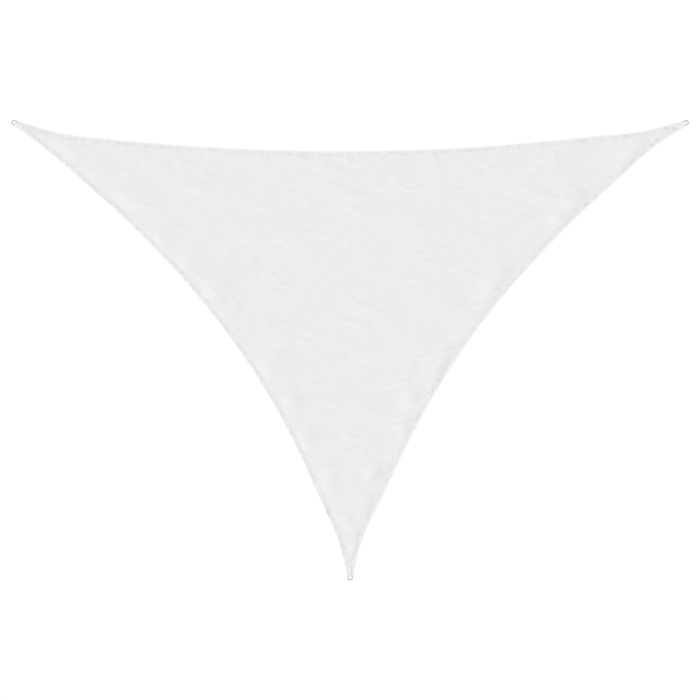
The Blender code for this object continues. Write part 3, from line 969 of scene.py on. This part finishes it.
def crossed_threads(tree, cut, spacings, wavers, detail):
    """Threads this far apart along the cut and across it, high where two of them cross."""
    rows = []
    for axis, spacing, waver in zip("XY", spacings, wavers):
        wave = {"Vector": cut, "Scale": WAVE_REPEAT / spacing}
        wave |= {"Distortion": waver, "Detail": detail}
        rows.append(add_node(tree, "ShaderNodeTexWave", wave, bands_direction=axis).outputs["Fac"])
    crossed = dict(enumerate(rows))
    return add_node(tree, "ShaderNodeMath", crossed, operation="MULTIPLY").outputs["Value"]


def knitted_polyethylene(name, colour, sewn):
    """Knitted polyethylene shade cloth: flat tapes laid in between chains of monofilament loops.

    The tapes give the cloth faint level streaks and a dry, plastic sheen, the loops an even fine
    grain. Light and shade painted on its points make it paler and darker in places, and sewn into a
    hem, it is dented, with painted shade in its dents.
    """
    material, tree, shader = new_material(name)
    cut = add_node(tree, "ShaderNodeUVMap", uv_map=CUT_MAP).outputs["UV"]
    # The chains of loops stand 4 mm apart, and their loops 2.6 mm.
    knit = crossed_threads(tree, cut, (4 * MM, 2.6 * MM), (0.6, 0.4), 1.0)
    # Holes between the loops, too small to see one by one, leave the grain a little darker.
    finish = shaded(tree, (*colour, 1.0), knit, (0.0, 0.5), (0.93, 1.0))
    # The streaks are about 95 mm long and 35 mm deep, a few tapes that lie a little tighter. They
    # make the cloth 0.6 to 3.2 % darker and paler, in patches of half a metre by a quarter.
    streaks = cloth_patches(tree, cut, 95 * MM, 35 * MM, 1.0, STREAK_HEADING)
    patches = cloth_patches(tree, cut, 500 * MM, 260 * MM, 1.0)
    darker_to_paler = []
    for way in (-1, 1):
        run = {"Value": patches, "From Min": 0.35, "From Max": 0.65}
        run |= {"To Min": 1 + way * 0.006, "To Max": 1 + way * 0.032}
        darker_to_paler.append(add_node(tree, "ShaderNodeMapRange", run).outputs["Result"])
    finish = shaded(tree, finish, streaks, (0.3, 0.7), darker_to_paler)
    # Painted light and shade: paler and darker patches that stand in for the shading of small
    # folds, and on the hem, paler pucker crests and darker dents.
    painted_shading = add_node(tree, "ShaderNodeAttribute", attribute_name=PAINTED_LIGHT).outputs["Fac"]
    finish = shaded(tree, finish, painted_shading, PAINTED_LIGHT_RANGE, [1 + PAINTED_LIGHT_STEP * painted_light for painted_light in PAINTED_LIGHT_RANGE])
    if sewn:
        # Painted shade in dents about 40 mm long and 10 mm deep, where the layers bunch up
        # under the thread.
        dents = cloth_patches(tree, cut, 40 * MM, 10 * MM, 2.0)
        finish = shaded(tree, finish, dents, (0.52, 0.68), (1.0, 0.95))
    else:
        # Blotches of a third of a metre, where the sheet lay folded in its bag.
        blotches = cloth_patches(tree, cut, 320 * MM, 260 * MM, 3.0)
        finish = shaded(tree, finish, blotches, (0.3, 0.7), (0.993, 1.007))
    relief = {0: knit, 1: 0.35, 2: streaks}
    height = add_node(tree, "ShaderNodeMath", relief, operation="MULTIPLY_ADD").outputs["Value"]
    bump = add_node(
        tree, "ShaderNodeBump", {"Height": height, "Strength": 1.0, "Distance": 0.4 * MM}
    )
    set_inputs(
        tree,
        shader,
        {
            "Base Color": finish,
            "Normal": bump.outputs["Normal"],
            "Roughness": 0.72,
            "IOR": 1.5,
            "Specular IOR Level": 0.25,
            "Sheen Weight": 0.08,
            "Sheen Roughness": 0.5,
        },
    )
    return material


def woven_polyester(colour):
    """Woven polyester webbing: thick warp yarns along it over a fine weft, so it looks ribbed."""
    material, tree, shader = new_material("Woven polyester webbing")
    cut = add_node(tree, "ShaderNodeUVMap", uv_map=CUT_MAP).outputs["UV"]
    # The weft crosses the strap every 1.1 mm, and warp yarns 1.4 mm apart run along it.
    weave = crossed_threads(tree, cut, (1.1 * MM, 1.4 * MM), (0.3, 0.3), 2.0)
    finish = shaded(tree, (*colour, 1.0), weave, (0.0, 1.0), (0.88, 1.04))
    bump = add_node(
        tree, "ShaderNodeBump", {"Height": weave, "Strength": 1.0, "Distance": 0.3 * MM}
    )
    surface = {"Base Color": finish, "Normal": bump.outputs["Normal"]}
    set_inputs(tree, shader, surface | {"Roughness": 0.65, "Specular IOR Level": 0.3})
    return material


def bonded_thread(name, colour):
    """Bonded polyester thread: smooth and slightly glossy, with the turn of its plies showing."""
    material, tree, shader = new_material(name)
    here = add_node(tree, "ShaderNodeTexCoord").outputs["Object"]
    # The plies turn round the thread every 0.8 mm.
    wave = {"Vector": here, "Scale": WAVE_REPEAT / (0.8 * MM), "Distortion": 0.5}
    plies = add_node(tree, "ShaderNodeTexWave", wave, bands_direction="DIAGONAL").outputs["Fac"]
    finish = shaded(tree, (*colour, 1.0), plies, (0.0, 1.0), (0.9, 1.03))
    set_inputs(tree, shader, {"Base Color": finish, "Roughness": 0.45})
    return material


def polished_steel(colour, roughness):
    """Stainless steel wire, bent and tumble polished: bright, with a faint haze of fine scuffs."""
    material, tree, shader = new_material("Polished stainless steel")
    here = add_node(tree, "ShaderNodeTexCoord").outputs["Object"]
    # Scuffs of about 1.5 mm from tumbling, with 0.8 to 1.3 times the roughness of the polish.
    grain = {"Vector": here, "Scale": 1 / (1.5 * MM), "Detail": 3.0}
    scuffs = add_node(tree, "ShaderNodeTexNoise", grain).outputs["Fac"]
    run = {"Value": scuffs, "From Min": 0.3, "From Max": 0.7}
    run |= {"To Min": roughness * 0.8, "To Max": roughness * 1.3}
    haze = add_node(tree, "ShaderNodeMapRange", run).outputs["Result"]
    set_inputs(
        tree, shader, {"Base Color": (*colour, 1.0), "Metallic": 1.0, "Roughness": haze}
    )
    return material


def opal_acrylic(colour, glow):
    """Matt opal acrylic of a light table: a dry, even white that is lit a little from below."""
    material, tree, shader = new_material("Matt opal acrylic")
    here = add_node(tree, "ShaderNodeTexCoord").outputs["Object"]
    # The tooth of its matt face is drawn at 2 mm, coarser than it is, so that it shows close to.
    tooth = add_node(tree, "ShaderNodeTexNoise", {"Vector": here, "Scale": 1 / (2 * MM)})
    relief = {"Height": tooth.outputs["Fac"], "Strength": 0.2, "Distance": 0.05 * MM}
    bump = add_node(tree, "ShaderNodeBump", relief)
    set_inputs(
        tree,
        shader,
        {
            "Base Color": (*colour, 1.0),
            "Normal": bump.outputs["Normal"],
            "Roughness": 0.9,
            "Specular IOR Level": 0.0,
            "Emission Color": (1.0, 1.0, 1.0, 1.0),
            "Emission Strength": glow,
        },
    )
    return material


# ------------------------------------------------------------------ making the pieces


def settings():
    return bpy.context.scene.shade_sail


def deselect_all():
    for item in bpy.context.selected_objects:
        item.select_set(False)


def only(item):
    """Selects this object alone and makes it the active one."""
    deselect_all()
    item.select_set(True)
    bpy.context.view_layer.objects.active = item


def add_piece(name, points, faces, material):
    """A mesh piece from its points and faces, in the sail's own frame."""
    mesh = bpy.data.meshes.new(name)
    mesh.from_pydata(points.tolist(), [], faces)
    mesh.materials.append(material)
    piece = bpy.data.objects.new(name, mesh)
    bpy.context.scene.collection.objects.link(piece)
    return piece


def map_cut(mesh, spots):
    """Lays the mesh's points out flat, at these spots in metres of cloth, as its map."""
    corners = np.zeros(len(mesh.loops), np.int32)
    mesh.loops.foreach_get("vertex_index", corners)
    layer = mesh.uv_layers.new(name=CUT_MAP)
    layer.data.foreach_set("uv", np.asarray(spots, np.float32)[corners].ravel())


def set_shares(mesh, name, shares):
    """Keeps a number for each of the mesh's points, which its finish reads by name."""
    layer = mesh.attributes.new(name, "FLOAT", "POINT")
    layer.data.foreach_set("value", shares.astype(np.float32))


def strip_faces(rows, columns, closed):
    """The faces between rows of points, where each row is open or closes in a ring."""
    return [
        (row + c, row + (c + 1) % columns, row + columns + (c + 1) % columns, row + columns + c)
        for row in range(0, (rows - 1) * columns, columns)
        for c in range(columns if closed else columns - 1)
    ]


def add_modifier(piece, kind, **choices):
    """Adds a modifier with its settings to the piece and applies it."""
    modifier = piece.modifiers.new(kind.title(), kind)
    for name, value in choices.items():
        setattr(modifier, name, value)
    only(piece)
    bpy.ops.object.modifier_apply(modifier=modifier.name)


def turn_outwards():
    """Turns the faces of the mesh that is being edited outwards."""
    bpy.ops.mesh.select_all(action="SELECT")
    bpy.ops.mesh.normals_make_consistent(inside=False)


def smooth(piece, sharp_from):
    """Shades the piece smooth, apart from edges sharper than the angle in degrees."""
    only(piece)
    bpy.ops.object.shade_smooth_by_angle(angle=math.radians(sharp_from))


def finish_mesh(piece, sharp_from):
    """Turns the piece's faces outwards and shades it smooth."""
    only(piece)
    bpy.ops.object.mode_set(mode="EDIT")
    turn_outwards()
    bpy.ops.object.mode_set(mode="OBJECT")
    smooth(piece, sharp_from)


def dress(piece):
    """Puts the piece on the sail's body."""
    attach(piece, BODY)


def lay_out(sail):
    """The points of the cloth's plan, the outline first."""
    rows = []
    for side in sail.sides:
        runs = np.linspace(0.0, side.total, round(side.total / SIDE_STEP) + 1)
        rows.append(side.inside(runs, np.full(len(runs), CLOTH_EDGE_DEPTH)))
    outline = np.vstack(rows)
    taken = outline
    for depth in ROW_DEPTHS:
        for side in sail.sides:
            runs = np.arange(SIDE_STEP / 2, side.total, SIDE_STEP)
            spots, ways, reach = side.section(runs)
            row = (spots + ways * depth)[reach > min(depth, HEM_WIDTH * FULL_WIDTH)]
            taken = np.vstack([taken, spaced(row, taken)])
    for crease in CREASES:
        taken = np.vstack([taken, spaced(crease_points(*crease), taken, sail, ROW_DEPTHS[-1])])
    taken = np.vstack([taken, spaced(field_points(taken), taken, sail, FIELD_DEPTH)])
    return taken, len(outline)


def spaced(points, taken, sail=None, depth=0.0):
    """Those of the points that keep their distance from the taken ones, and lie this deep in."""
    points = points[nearest(make_tree(taken), points)[1] > POINT_GAP]
    if sail is None:
        return points
    points = points[sail.is_inside(points)]
    deep = [side.place(points)[1] > depth for side in sail.sides]
    return points[np.all(deep, axis=0)]


def crease_points(x, y, length, right, left, heading, _):
    """Rows of points along a crease: its ridge, and down both its slopes."""
    angle = math.radians(heading)
    along = np.array([math.cos(angle), math.sin(angle)])
    across = np.array([-along[1], along[0]])
    places = np.linspace(-0.5, 0.5, round(length / CREASE_STEP)) * length
    ridge = np.array([x, y]) + np.outer(places, along)
    offsets = [share * (right if share < 0 else left) for share in CREASE_ROWS]
    return np.vstack([ridge + across * offset for offset in offsets])


def field_points(taken):
    """Even rows over the whole cloth, closer across the folds than along them, with every other
    row half a step on."""
    low = taken.min(axis=0)
    high = taken.max(axis=0)
    rows = int((high[1] - low[1]) / FIELD_ALONG)
    columns = int((high[0] - low[0]) / FIELD_ACROSS)
    column, row = np.meshgrid(np.arange(columns), np.arange(rows))
    across = (column + 0.5 * (row % 2)) * FIELD_ACROSS
    along = (row + 0.5) * FIELD_ALONG
    return low + np.stack([across, along], axis=2).reshape(-1, 2)


def make_cloth(sail, colour):
    """The single cloth: its plan is triangulated, raised into its folds and thickened upwards."""
    plan, outline_count = lay_out(sail)
    flat = [Vector(point) for point in plan.tolist()]
    outline = [list(range(outline_count))]
    inside_only = 1
    result = delaunay_2d_cdt(flat, [], outline, inside_only, MERGE_DISTANCE)
    spots = np.array([tuple(spot) for spot in result[0]])
    points = np.column_stack([spots, sail.underside(spots)])
    knitted = knitted_polyethylene("Knitted polyethylene cloth", colour, sewn=False)
    cloth = add_piece("sail_cloth", points, result[2], knitted)
    map_cut(cloth.data, spots)
    # Light and shade painted on the cloth: the patches, and the bands beside its hems.
    beside_hem = sum(painted_hem_light(sail, side, *side.place(spots)) for side in sail.sides)
    set_shares(cloth.data, PAINTED_LIGHT, painted_patch_light(spots) + beside_hem)
    add_modifier(cloth, "SOLIDIFY", thickness=CLOTH_THICKNESS, offset=1.0)
    smooth(cloth, CLOTH_SHARP_FROM)
    return cloth


def painted_patch_light(spots):
    """Painted light and shade: how much paler or darker the patches make the cloth at each spot."""
    painted_light = np.zeros(len(spots))
    for x, y, half_length, half_width, heading, share in PAINTED_PATCHES:
        along, across = in_own_axes(spots, x, y, heading)
        painted_light += share * swell(np.hypot(along / half_length, across / half_width))
    return painted_light


def painted_hem_light(sail, side, runs, depths):
    """Painted light and shade on a side's hem and beside it: paler puckers, darker dents."""
    at, *pale = np.array(PAINTED_HEM_LIGHT).T
    profile = np.interp(depths / MM, at, pale[SIDES.index(side.name)])
    from_corner = np.minimum(runs, side.total - runs)
    sewn = SHOWS_AT_CORNER + (1 - SHOWS_AT_CORNER) * smoothstep(from_corner / CALM_FROM_CORNER)
    crest_highlight = PUCKER_PAINTED_HIGHLIGHT * sail.puckered(side, runs, depths) / sail.pucker_height
    dent_shade = DENTS[side.name][-1]
    painted_light = profile + sewn * (crest_highlight - dent_shade * sail.dented(side, runs, depths))
    return np.maximum(painted_light, DARKEST_PAINTED_SHADE)


def make_hem(sail, side, material):
    """The hem of one side: its section is swept along the edge and closed at both ends."""
    section = np.array(HEM_SECTION)
    count = len(section)
    stations = round(side.total / HEM_STEP) + 1
    runs = np.repeat(np.linspace(0.0, side.total, stations), count)
    depths, heights, lifts = np.tile(section, (stations, 1)).T
    depths = depths * MM
    points = on_hem(sail, side, runs, depths, heights * MM, lifts)
    faces = strip_faces(stations, count, closed=True)
    faces += [tuple(range(count)), tuple(range(len(runs) - count, len(runs)))]
    hem = add_piece(f"hem_{side.name}", points, faces, material)
    map_cut(hem.data, np.column_stack([runs, depths]))
    # Light and shade painted on the hem: the patches, and its own band.
    set_shares(hem.data, PAINTED_LIGHT, painted_patch_light(points[:, :2]) + painted_hem_light(sail, side, runs, depths))
    finish_mesh(hem, HEM_SHARP_FROM)
    return hem


def on_hem(sail, side, runs, depths, heights, lifts):
    """Points on the hem: how far along, how deep in, how high over the cloth's underside, and the
    share of a pucker that lifts each."""
    spots = side.inside(runs, depths)
    drawn = sail.puckered(side, runs, depths) - DENT_DEEPEST * sail.dented(side, runs, depths)
    lifted = lifts * drawn * sail.corner_fade(spots)
    return np.column_stack([spots, sail.underside(spots) + heights + lifted])


def model_stitch(length, thickness):
    """One stitch along +X: a short bar of thread whose two ends dive into the cloth."""
    dive = STITCH_DIVE * thickness
    shoulder = STITCH_SHOULDER * length
    deselect_all()
    bpy.ops.mesh.primitive_circle_add(
        vertices=STITCH_SIDES,
        radius=thickness / 2,
        fill_type="NGON",
        location=(-length / 2, 0.0, -dive),
        rotation=(0.0, math.pi / 2, 0.0),
    )
    stitch = bpy.context.active_object
    bpy.ops.object.transform_apply(location=True, rotation=True, scale=True)
    bpy.ops.object.mode_set(mode="EDIT")
    bpy.ops.mesh.select_all(action="SELECT")
    level = length - 2 * shoulder
    for step in ((shoulder, 0.0, dive), (level, 0.0, 0.0), (shoulder, 0.0, -dive)):
        bpy.ops.mesh.extrude_region_move(TRANSFORM_OT_translate={"value": step})
    turn_outwards()
    bpy.ops.object.mode_set(mode="OBJECT")
    points = np.array([tuple(v.co) for v in stitch.data.vertices])
    faces = [tuple(face.vertices) for face in stitch.data.polygons]
    bpy.data.objects.remove(stitch, do_unlink=True)
    return points, faces


def add_sewing(name, blocks, stitch, material):
    """One piece of all the stitches, whose points are given block by block."""
    shape, faces = stitch
    points = np.vstack(blocks)
    starts = range(0, len(points), len(shape))
    every = [tuple(start + i for i in face) for start in starts for face in faces]
    sewing = add_piece(name, points, every, material)
    smooth(sewing, THREAD_SHARP_FROM)
    return sewing


def sew_hem(sail, side, stitch, pitch, thickness, material):
    """Both rows of stitches along one side's hem, each stitch laid on the hem's own surface."""
    shape, _ = stitch
    at, heights, shares = np.array(HEM_SECTION)[HEM_TOP].T
    blocks = []
    for depth, start in zip(STITCH_ROWS, STITCH_FROM_CORNER):
        middles = np.arange(start, side.total - start, pitch)
        runs = (middles[:, None] + shape[None, :, 0]).ravel()
        depths = np.tile(depth + shape[:, 1], len(middles))
        over = np.tile(shape[:, 2] + thickness * THREAD_STANDS_OUT, len(middles))
        top = np.interp(depths / MM, at, heights) * MM
        lifts = np.interp(depths / MM, at, shares)
        blocks.append(on_hem(sail, side, runs, depths, top + over, lifts))
    return add_sewing(f"hem_sewing_{side.name}", blocks, stitch, material)


def tab_path():
    """The middle of the webbing, as (distance from the eye, height): under, round the bar, over."""
    half = TAB_THICKNESS / 2
    fold = TAB_FOLD_INSIDE + half
    upper = TAB_THICKNESS + SEAT_GAP + HEM_THICKNESS + PRESSED_GAP + half
    under = np.linspace(TAB_END_FROM_EYE, BAR_FROM_EYE, TAB_UNDER_POINTS)[:-1]
    path = [(x, half) for x in under]
    for angle in np.linspace(-math.pi / 2, -math.pi * 1.5 - TAB_SLOPE, TAB_FOLD_STEPS + 1):
        path.append((BAR_FROM_EYE + fold * math.cos(angle), BAR_HEIGHT + fold * math.sin(angle)))
    run_down = (path[-1][1] - upper) / math.tan(TAB_SLOPE)
    level_from = path[-1][0] + run_down
    path += [(x, upper) for x in np.linspace(level_from, TAB_END_FROM_EYE, TAB_OVER_POINTS)]
    return np.array(path), upper + half


def fold_tab(corner, material):
    """Webbing folded round the ring's bar: a strip along the path, thickened both ways."""
    path, _ = tab_path()
    across = np.array(TAB_COLUMNS) * TAB_WIDTH / 2
    steps = np.linalg.norm(np.diff(path, axis=0), axis=1)
    runs = np.concatenate([[0.0], np.cumsum(steps)])
    over = runs > runs[-1] / 2
    sewn_down = smoothstep((path[:, 0] - BOX_FROM_EYE[0]) / TAB_SEWN_RAMP) * over
    at_edge = np.abs(across) >= TAB_WIDTH / 2
    points = np.array(
        [
            (x, y, z - TAB_EDGE_DROP * sewn * edge)
            for (x, z), sewn in zip(path, sewn_down)
            for y, edge in zip(across, at_edge)
        ]
    )
    faces = strip_faces(len(path), len(across), closed=False)
    tab = add_piece(f"tab_{corner.name}_webbing", points, faces, material)
    map_cut(tab.data, [(run, y) for run in runs for y in across])
    tab.data.transform(corner.place())
    add_modifier(tab, "SOLIDIFY", thickness=TAB_THICKNESS, offset=0.0, use_even_offset=True)
    add_modifier(
        tab,
        "BEVEL",
        width=WEBBING_EDGE_RADIUS,
        segments=WEBBING_EDGE_SEGMENTS,
        limit_method="ANGLE",
        angle_limit=WEBBING_EDGE_FROM,
    )
    finish_mesh(tab, WEBBING_SHARP_FROM)
    return tab


def sew_tab(corner, stitch, pitch, thickness, material):
    """A box with a cross in it, sewn through the tab and the corner of the cloth."""
    shape, _ = stitch
    _, top = tab_path()
    near, far = BOX_FROM_EYE
    half = BOX_HALF_WIDTH
    lines = (
        ((near, -half), (far, -half)),
        ((far, -half), (far, half)),
        ((far, half), (near, half)),
        ((near, half), (near, -half)),
        ((near, -half), (far, half)),
        ((near, half), (far, -half)),
    )
    blocks = []
    for start, end in lines:
        start, end = np.array(start), np.array(end)
        length = float(np.linalg.norm(end - start))
        along = (end - start) / length
        aside = np.array([-along[1], along[0]])
        count = round(length / pitch)
        for number in range(count):
            middle = start + along * length * (number + 0.5) / count
            spots = middle + np.outer(shape[:, 0], along) + np.outer(shape[:, 1], aside)
            heights = shape[:, 2] + top + thickness * THREAD_STANDS_OUT
            blocks.append(np.column_stack([spots, heights]))
    sewing = add_sewing(f"tab_{corner.name}_sewing", blocks, stitch, material)
    sewing.data.transform(corner.place())
    return sewing


def bend_ring(material):
    """A D-ring with its eye at the origin: round wire, spun round the bow and the bends."""
    bend_x = BAR_FROM_EYE - BAR_BEND_RADIUS
    bend_y = BOW_RADIUS - BAR_BEND_RADIUS
    deselect_all()
    bpy.ops.mesh.primitive_circle_add(
        vertices=WIRE_SIDES,
        radius=WIRE_RADIUS,
        location=(0.0, BOW_RADIUS, 0.0),
        rotation=(0.0, math.pi / 2, 0.0),
    )
    ring = bpy.context.active_object
    bpy.ops.object.transform_apply(location=True, rotation=True, scale=True)
    bpy.ops.object.mode_set(mode="EDIT")
    bpy.ops.mesh.select_all(action="SELECT")
    # With no window, spin turns clockwise for a positive angle.
    for steps, turn, centre, straight in (
        (BOW_STEPS, -math.pi, (0.0, 0.0, 0.0), (bend_x, 0.0, 0.0)),
        (BAR_BEND_STEPS, -math.pi / 2, (bend_x, -bend_y, 0.0), (0.0, 2 * bend_y, 0.0)),
        (BAR_BEND_STEPS, -math.pi / 2, (bend_x, bend_y, 0.0), (-bend_x, 0.0, 0.0)),
    ):
        bpy.ops.mesh.spin(steps=steps, angle=turn, center=centre, axis=(0.0, 0.0, 1.0))
        bpy.ops.mesh.extrude_region_move(TRANSFORM_OT_translate={"value": straight})
    bpy.ops.mesh.select_all(action="SELECT")
    bpy.ops.mesh.remove_doubles(threshold=WELD_DISTANCE)
    turn_outwards()
    bpy.ops.object.mode_set(mode="OBJECT")
    bpy.ops.object.shade_smooth()
    ring.data.materials.append(material)
    return ring


def seat_ring(corner, model):
    """A copy of the ring, its bar up in the tab's fold and its bow down on the ground."""
    ring = bpy.data.objects.new(f"ring_{corner.name}_wire", model.data.copy())
    bpy.context.scene.collection.objects.link(ring)
    slope = math.asin((BAR_HEIGHT - WIRE_RADIUS - GROUND_GAP) / (BAR_FROM_EYE + BOW_RADIUS))
    eye_height = BAR_HEIGHT - BAR_FROM_EYE * math.sin(slope)
    lean = Matrix.Translation((0.0, 0.0, eye_height)) @ Matrix.Rotation(-slope, 4, "Y")
    ring.data.transform(corner.place() @ lean)
    return ring


# ------------------------------------------------------------------ the operators


class SHADESAIL_OT_stage(bpy.types.Operator):
    """Set the floor, the soft light and the camera"""

    bl_idname = "shadesail.stage"
    bl_label = "Set the stage"

    def execute(self, context):
        stage = settings().stage
        deselect_all()
        bpy.ops.mesh.primitive_plane_add(size=FLOOR_SIZE, location=(0.0, 0.0, -FLOOR_DROP))
        floor = context.active_object
        floor.name = "floor"
        bpy.ops.object.transform_apply(location=True, rotation=True, scale=True)
        floor.data.materials.append(opal_acrylic(stage.floor_colour, stage.table_glow))

        level = math.cos(stage.key_height)
        way_to_key = Vector(
            (
                math.cos(stage.key_bearing) * level,
                math.sin(stage.key_bearing) * level,
                math.sin(stage.key_height),
            )
        )
        bpy.ops.object.light_add(type="SUN", location=way_to_key * KEY_DISTANCE)
        key = context.active_object
        key.name = "key_light"
        key.rotation_euler = way_to_key.to_track_quat("Z", "Y").to_euler()
        key.data.energy = stage.key_strength
        key.data.angle = stage.key_spread

        room = bpy.data.worlds.new("Soft room light")
        room.use_nodes = True
        background = room.node_tree.nodes["Background"]
        background.inputs["Color"].default_value = (1.0, 1.0, 1.0, 1.0)
        background.inputs["Strength"].default_value = stage.room_strength
        context.scene.world = room
        context.scene.view_settings.view_transform = "Standard"

        bpy.ops.object.camera_add(rotation=(0.0, 0.0, 0.0))
        camera = context.active_object
        camera.name = "camera"
        camera.data.lens = stage.lens
        camera.location = (*VIEW_CENTRE, stage.view_width * stage.lens / camera.data.sensor_width)
        camera.data.clip_end = FLOOR_SIZE
        context.scene.camera = camera
        return {"FINISHED"}


class SHADESAIL_OT_cloth(bpy.types.Operator):
    """Lay out the cloth in its folds and creases"""

    bl_idname = "shadesail.cloth"
    bl_label = "Lay the cloth"

    def execute(self, context):
        chosen = settings().cloth
        cloth = make_cloth(Sail(chosen), chosen.cloth_colour)
        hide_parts("sail")
        dress(cloth)
        return {"FINISHED"}


class SHADESAIL_OT_hem(bpy.types.Operator):
    """Fold the hem over each side of the cloth"""

    bl_idname = "shadesail.hem"
    bl_label = "Fold the hem"

    def execute(self, context):
        chosen = settings().cloth
        sail = Sail(chosen)
        name = "Knitted polyethylene, folded and sewn"
        folded = knitted_polyethylene(name, chosen.hem_colour, sewn=True)
        for side in sail.sides:
            dress(make_hem(sail, side, folded))
        return {"FINISHED"}


class SHADESAIL_OT_hem_sewing(bpy.types.Operator):
    """Sew two rows of stitches along each side's hem"""

    bl_idname = "shadesail.hem_sewing"
    bl_label = "Sew the hem"

    def execute(self, context):
        chosen = settings()
        sail = Sail(chosen.cloth)
        thread = bonded_thread("Bonded polyester thread", chosen.sewing.hem_thread_colour)
        length, thickness = chosen.sewing.stitch_length, chosen.sewing.thread_thickness
        stitch = model_stitch(length, thickness)
        pitch = length + chosen.sewing.stitch_gap
        on_it = []
        for side in sail.sides:
            sewing = sew_hem(sail, side, stitch, pitch, thickness, thread)
            dress(sewing)
            on_it += [bpy.data.objects[f"hem_{side.name}"], sewing]
        return {"FINISHED"}


class SHADESAIL_OT_tabs(bpy.types.Operator):
    """Fold a webbing tab round each ring's bar"""

    bl_idname = "shadesail.tabs"
    bl_label = "Fold the tabs"

    def execute(self, context):
        webbing = woven_polyester(settings().fittings.webbing_colour)
        for corner in make_corners():
            tab = fold_tab(corner, webbing)
            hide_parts(f"tab_{corner.name}")
            dress(tab)
        return {"FINISHED"}


class SHADESAIL_OT_tab_sewing(bpy.types.Operator):
    """Sew each tab through the cloth with a box and a cross"""

    bl_idname = "shadesail.tab_sewing"
    bl_label = "Sew the tabs"

    def execute(self, context):
        sewing = settings().sewing
        thread = bonded_thread("Bonded polyester thread, grey", sewing.tab_thread_colour)
        thickness = sewing.thread_thickness * TAB_THREAD_SHARE
        stitch = model_stitch(TAB_STITCH_LENGTH, thickness)
        pitch = TAB_STITCH_LENGTH + sewing.stitch_gap
        for corner in make_corners():
            box = sew_tab(corner, stitch, pitch, thickness, thread)
            dress(box)
        return {"FINISHED"}


class SHADESAIL_OT_rings(bpy.types.Operator):
    """Bend the D-rings and seat each in its tab's fold"""

    bl_idname = "shadesail.rings"
    bl_label = "Bend the rings"

    def execute(self, context):
        fittings = settings().fittings
        model = bend_ring(polished_steel(fittings.steel_colour, fittings.steel_roughness))
        for corner in make_corners():
            ring = seat_ring(corner, model)
            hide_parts(f"ring_{corner.name}")
            dress(ring)
        bpy.data.objects.remove(model, do_unlink=True)
        return {"FINISHED"}


class SHADESAIL_PT_panel(bpy.types.Panel):
    """The sail's sizes and colours, and what makes each piece"""

    bl_idname = "SHADESAIL_PT_panel"
    bl_label = "Shade sail"
    bl_space_type = "VIEW_3D"
    bl_region_type = "UI"
    bl_category = "Shade sail"

    def draw(self, context):
        chosen = context.scene.shade_sail
        for title, group in (
            ("Cloth and hem", chosen.cloth),
            ("Sewing", chosen.sewing),
            ("Tabs and rings", chosen.fittings),
            ("Stage", chosen.stage),
        ):
            box = self.layout.box()
            box.label(text=title)
            for name in group.__annotations__:
                box.prop(group, name)
        for operator in OPERATORS:
            self.layout.operator(operator.bl_idname)


GROUPS = (
    SHADESAIL_PG_cloth,
    SHADESAIL_PG_sewing,
    SHADESAIL_PG_fittings,
    SHADESAIL_PG_stage,
    SHADESAIL_PG_sail,
)
OPERATORS = (
    SHADESAIL_OT_stage,
    SHADESAIL_OT_cloth,
    SHADESAIL_OT_hem,
    SHADESAIL_OT_hem_sewing,
    SHADESAIL_OT_rings,
    SHADESAIL_OT_tabs,
    SHADESAIL_OT_tab_sewing,
)


def register():
    for item in (*GROUPS, *OPERATORS, SHADESAIL_PT_panel):
        bpy.utils.register_class(item)
    bpy.types.Scene.shade_sail = bpy.props.PointerProperty(type=SHADESAIL_PG_sail)


def unregister():
    del bpy.types.Scene.shade_sail
    for item in reversed((*GROUPS, *OPERATORS, SHADESAIL_PT_panel)):
        bpy.utils.unregister_class(item)


def main():
    register()
    bpy.ops.shadesail.stage()
    bpy.ops.shadesail.cloth()
    bpy.ops.shadesail.hem()
    bpy.ops.shadesail.hem_sewing()
    bpy.ops.shadesail.rings()
    bpy.ops.shadesail.tabs()
    bpy.ops.shadesail.tab_sewing()


if __name__ == "__main__":
    main()
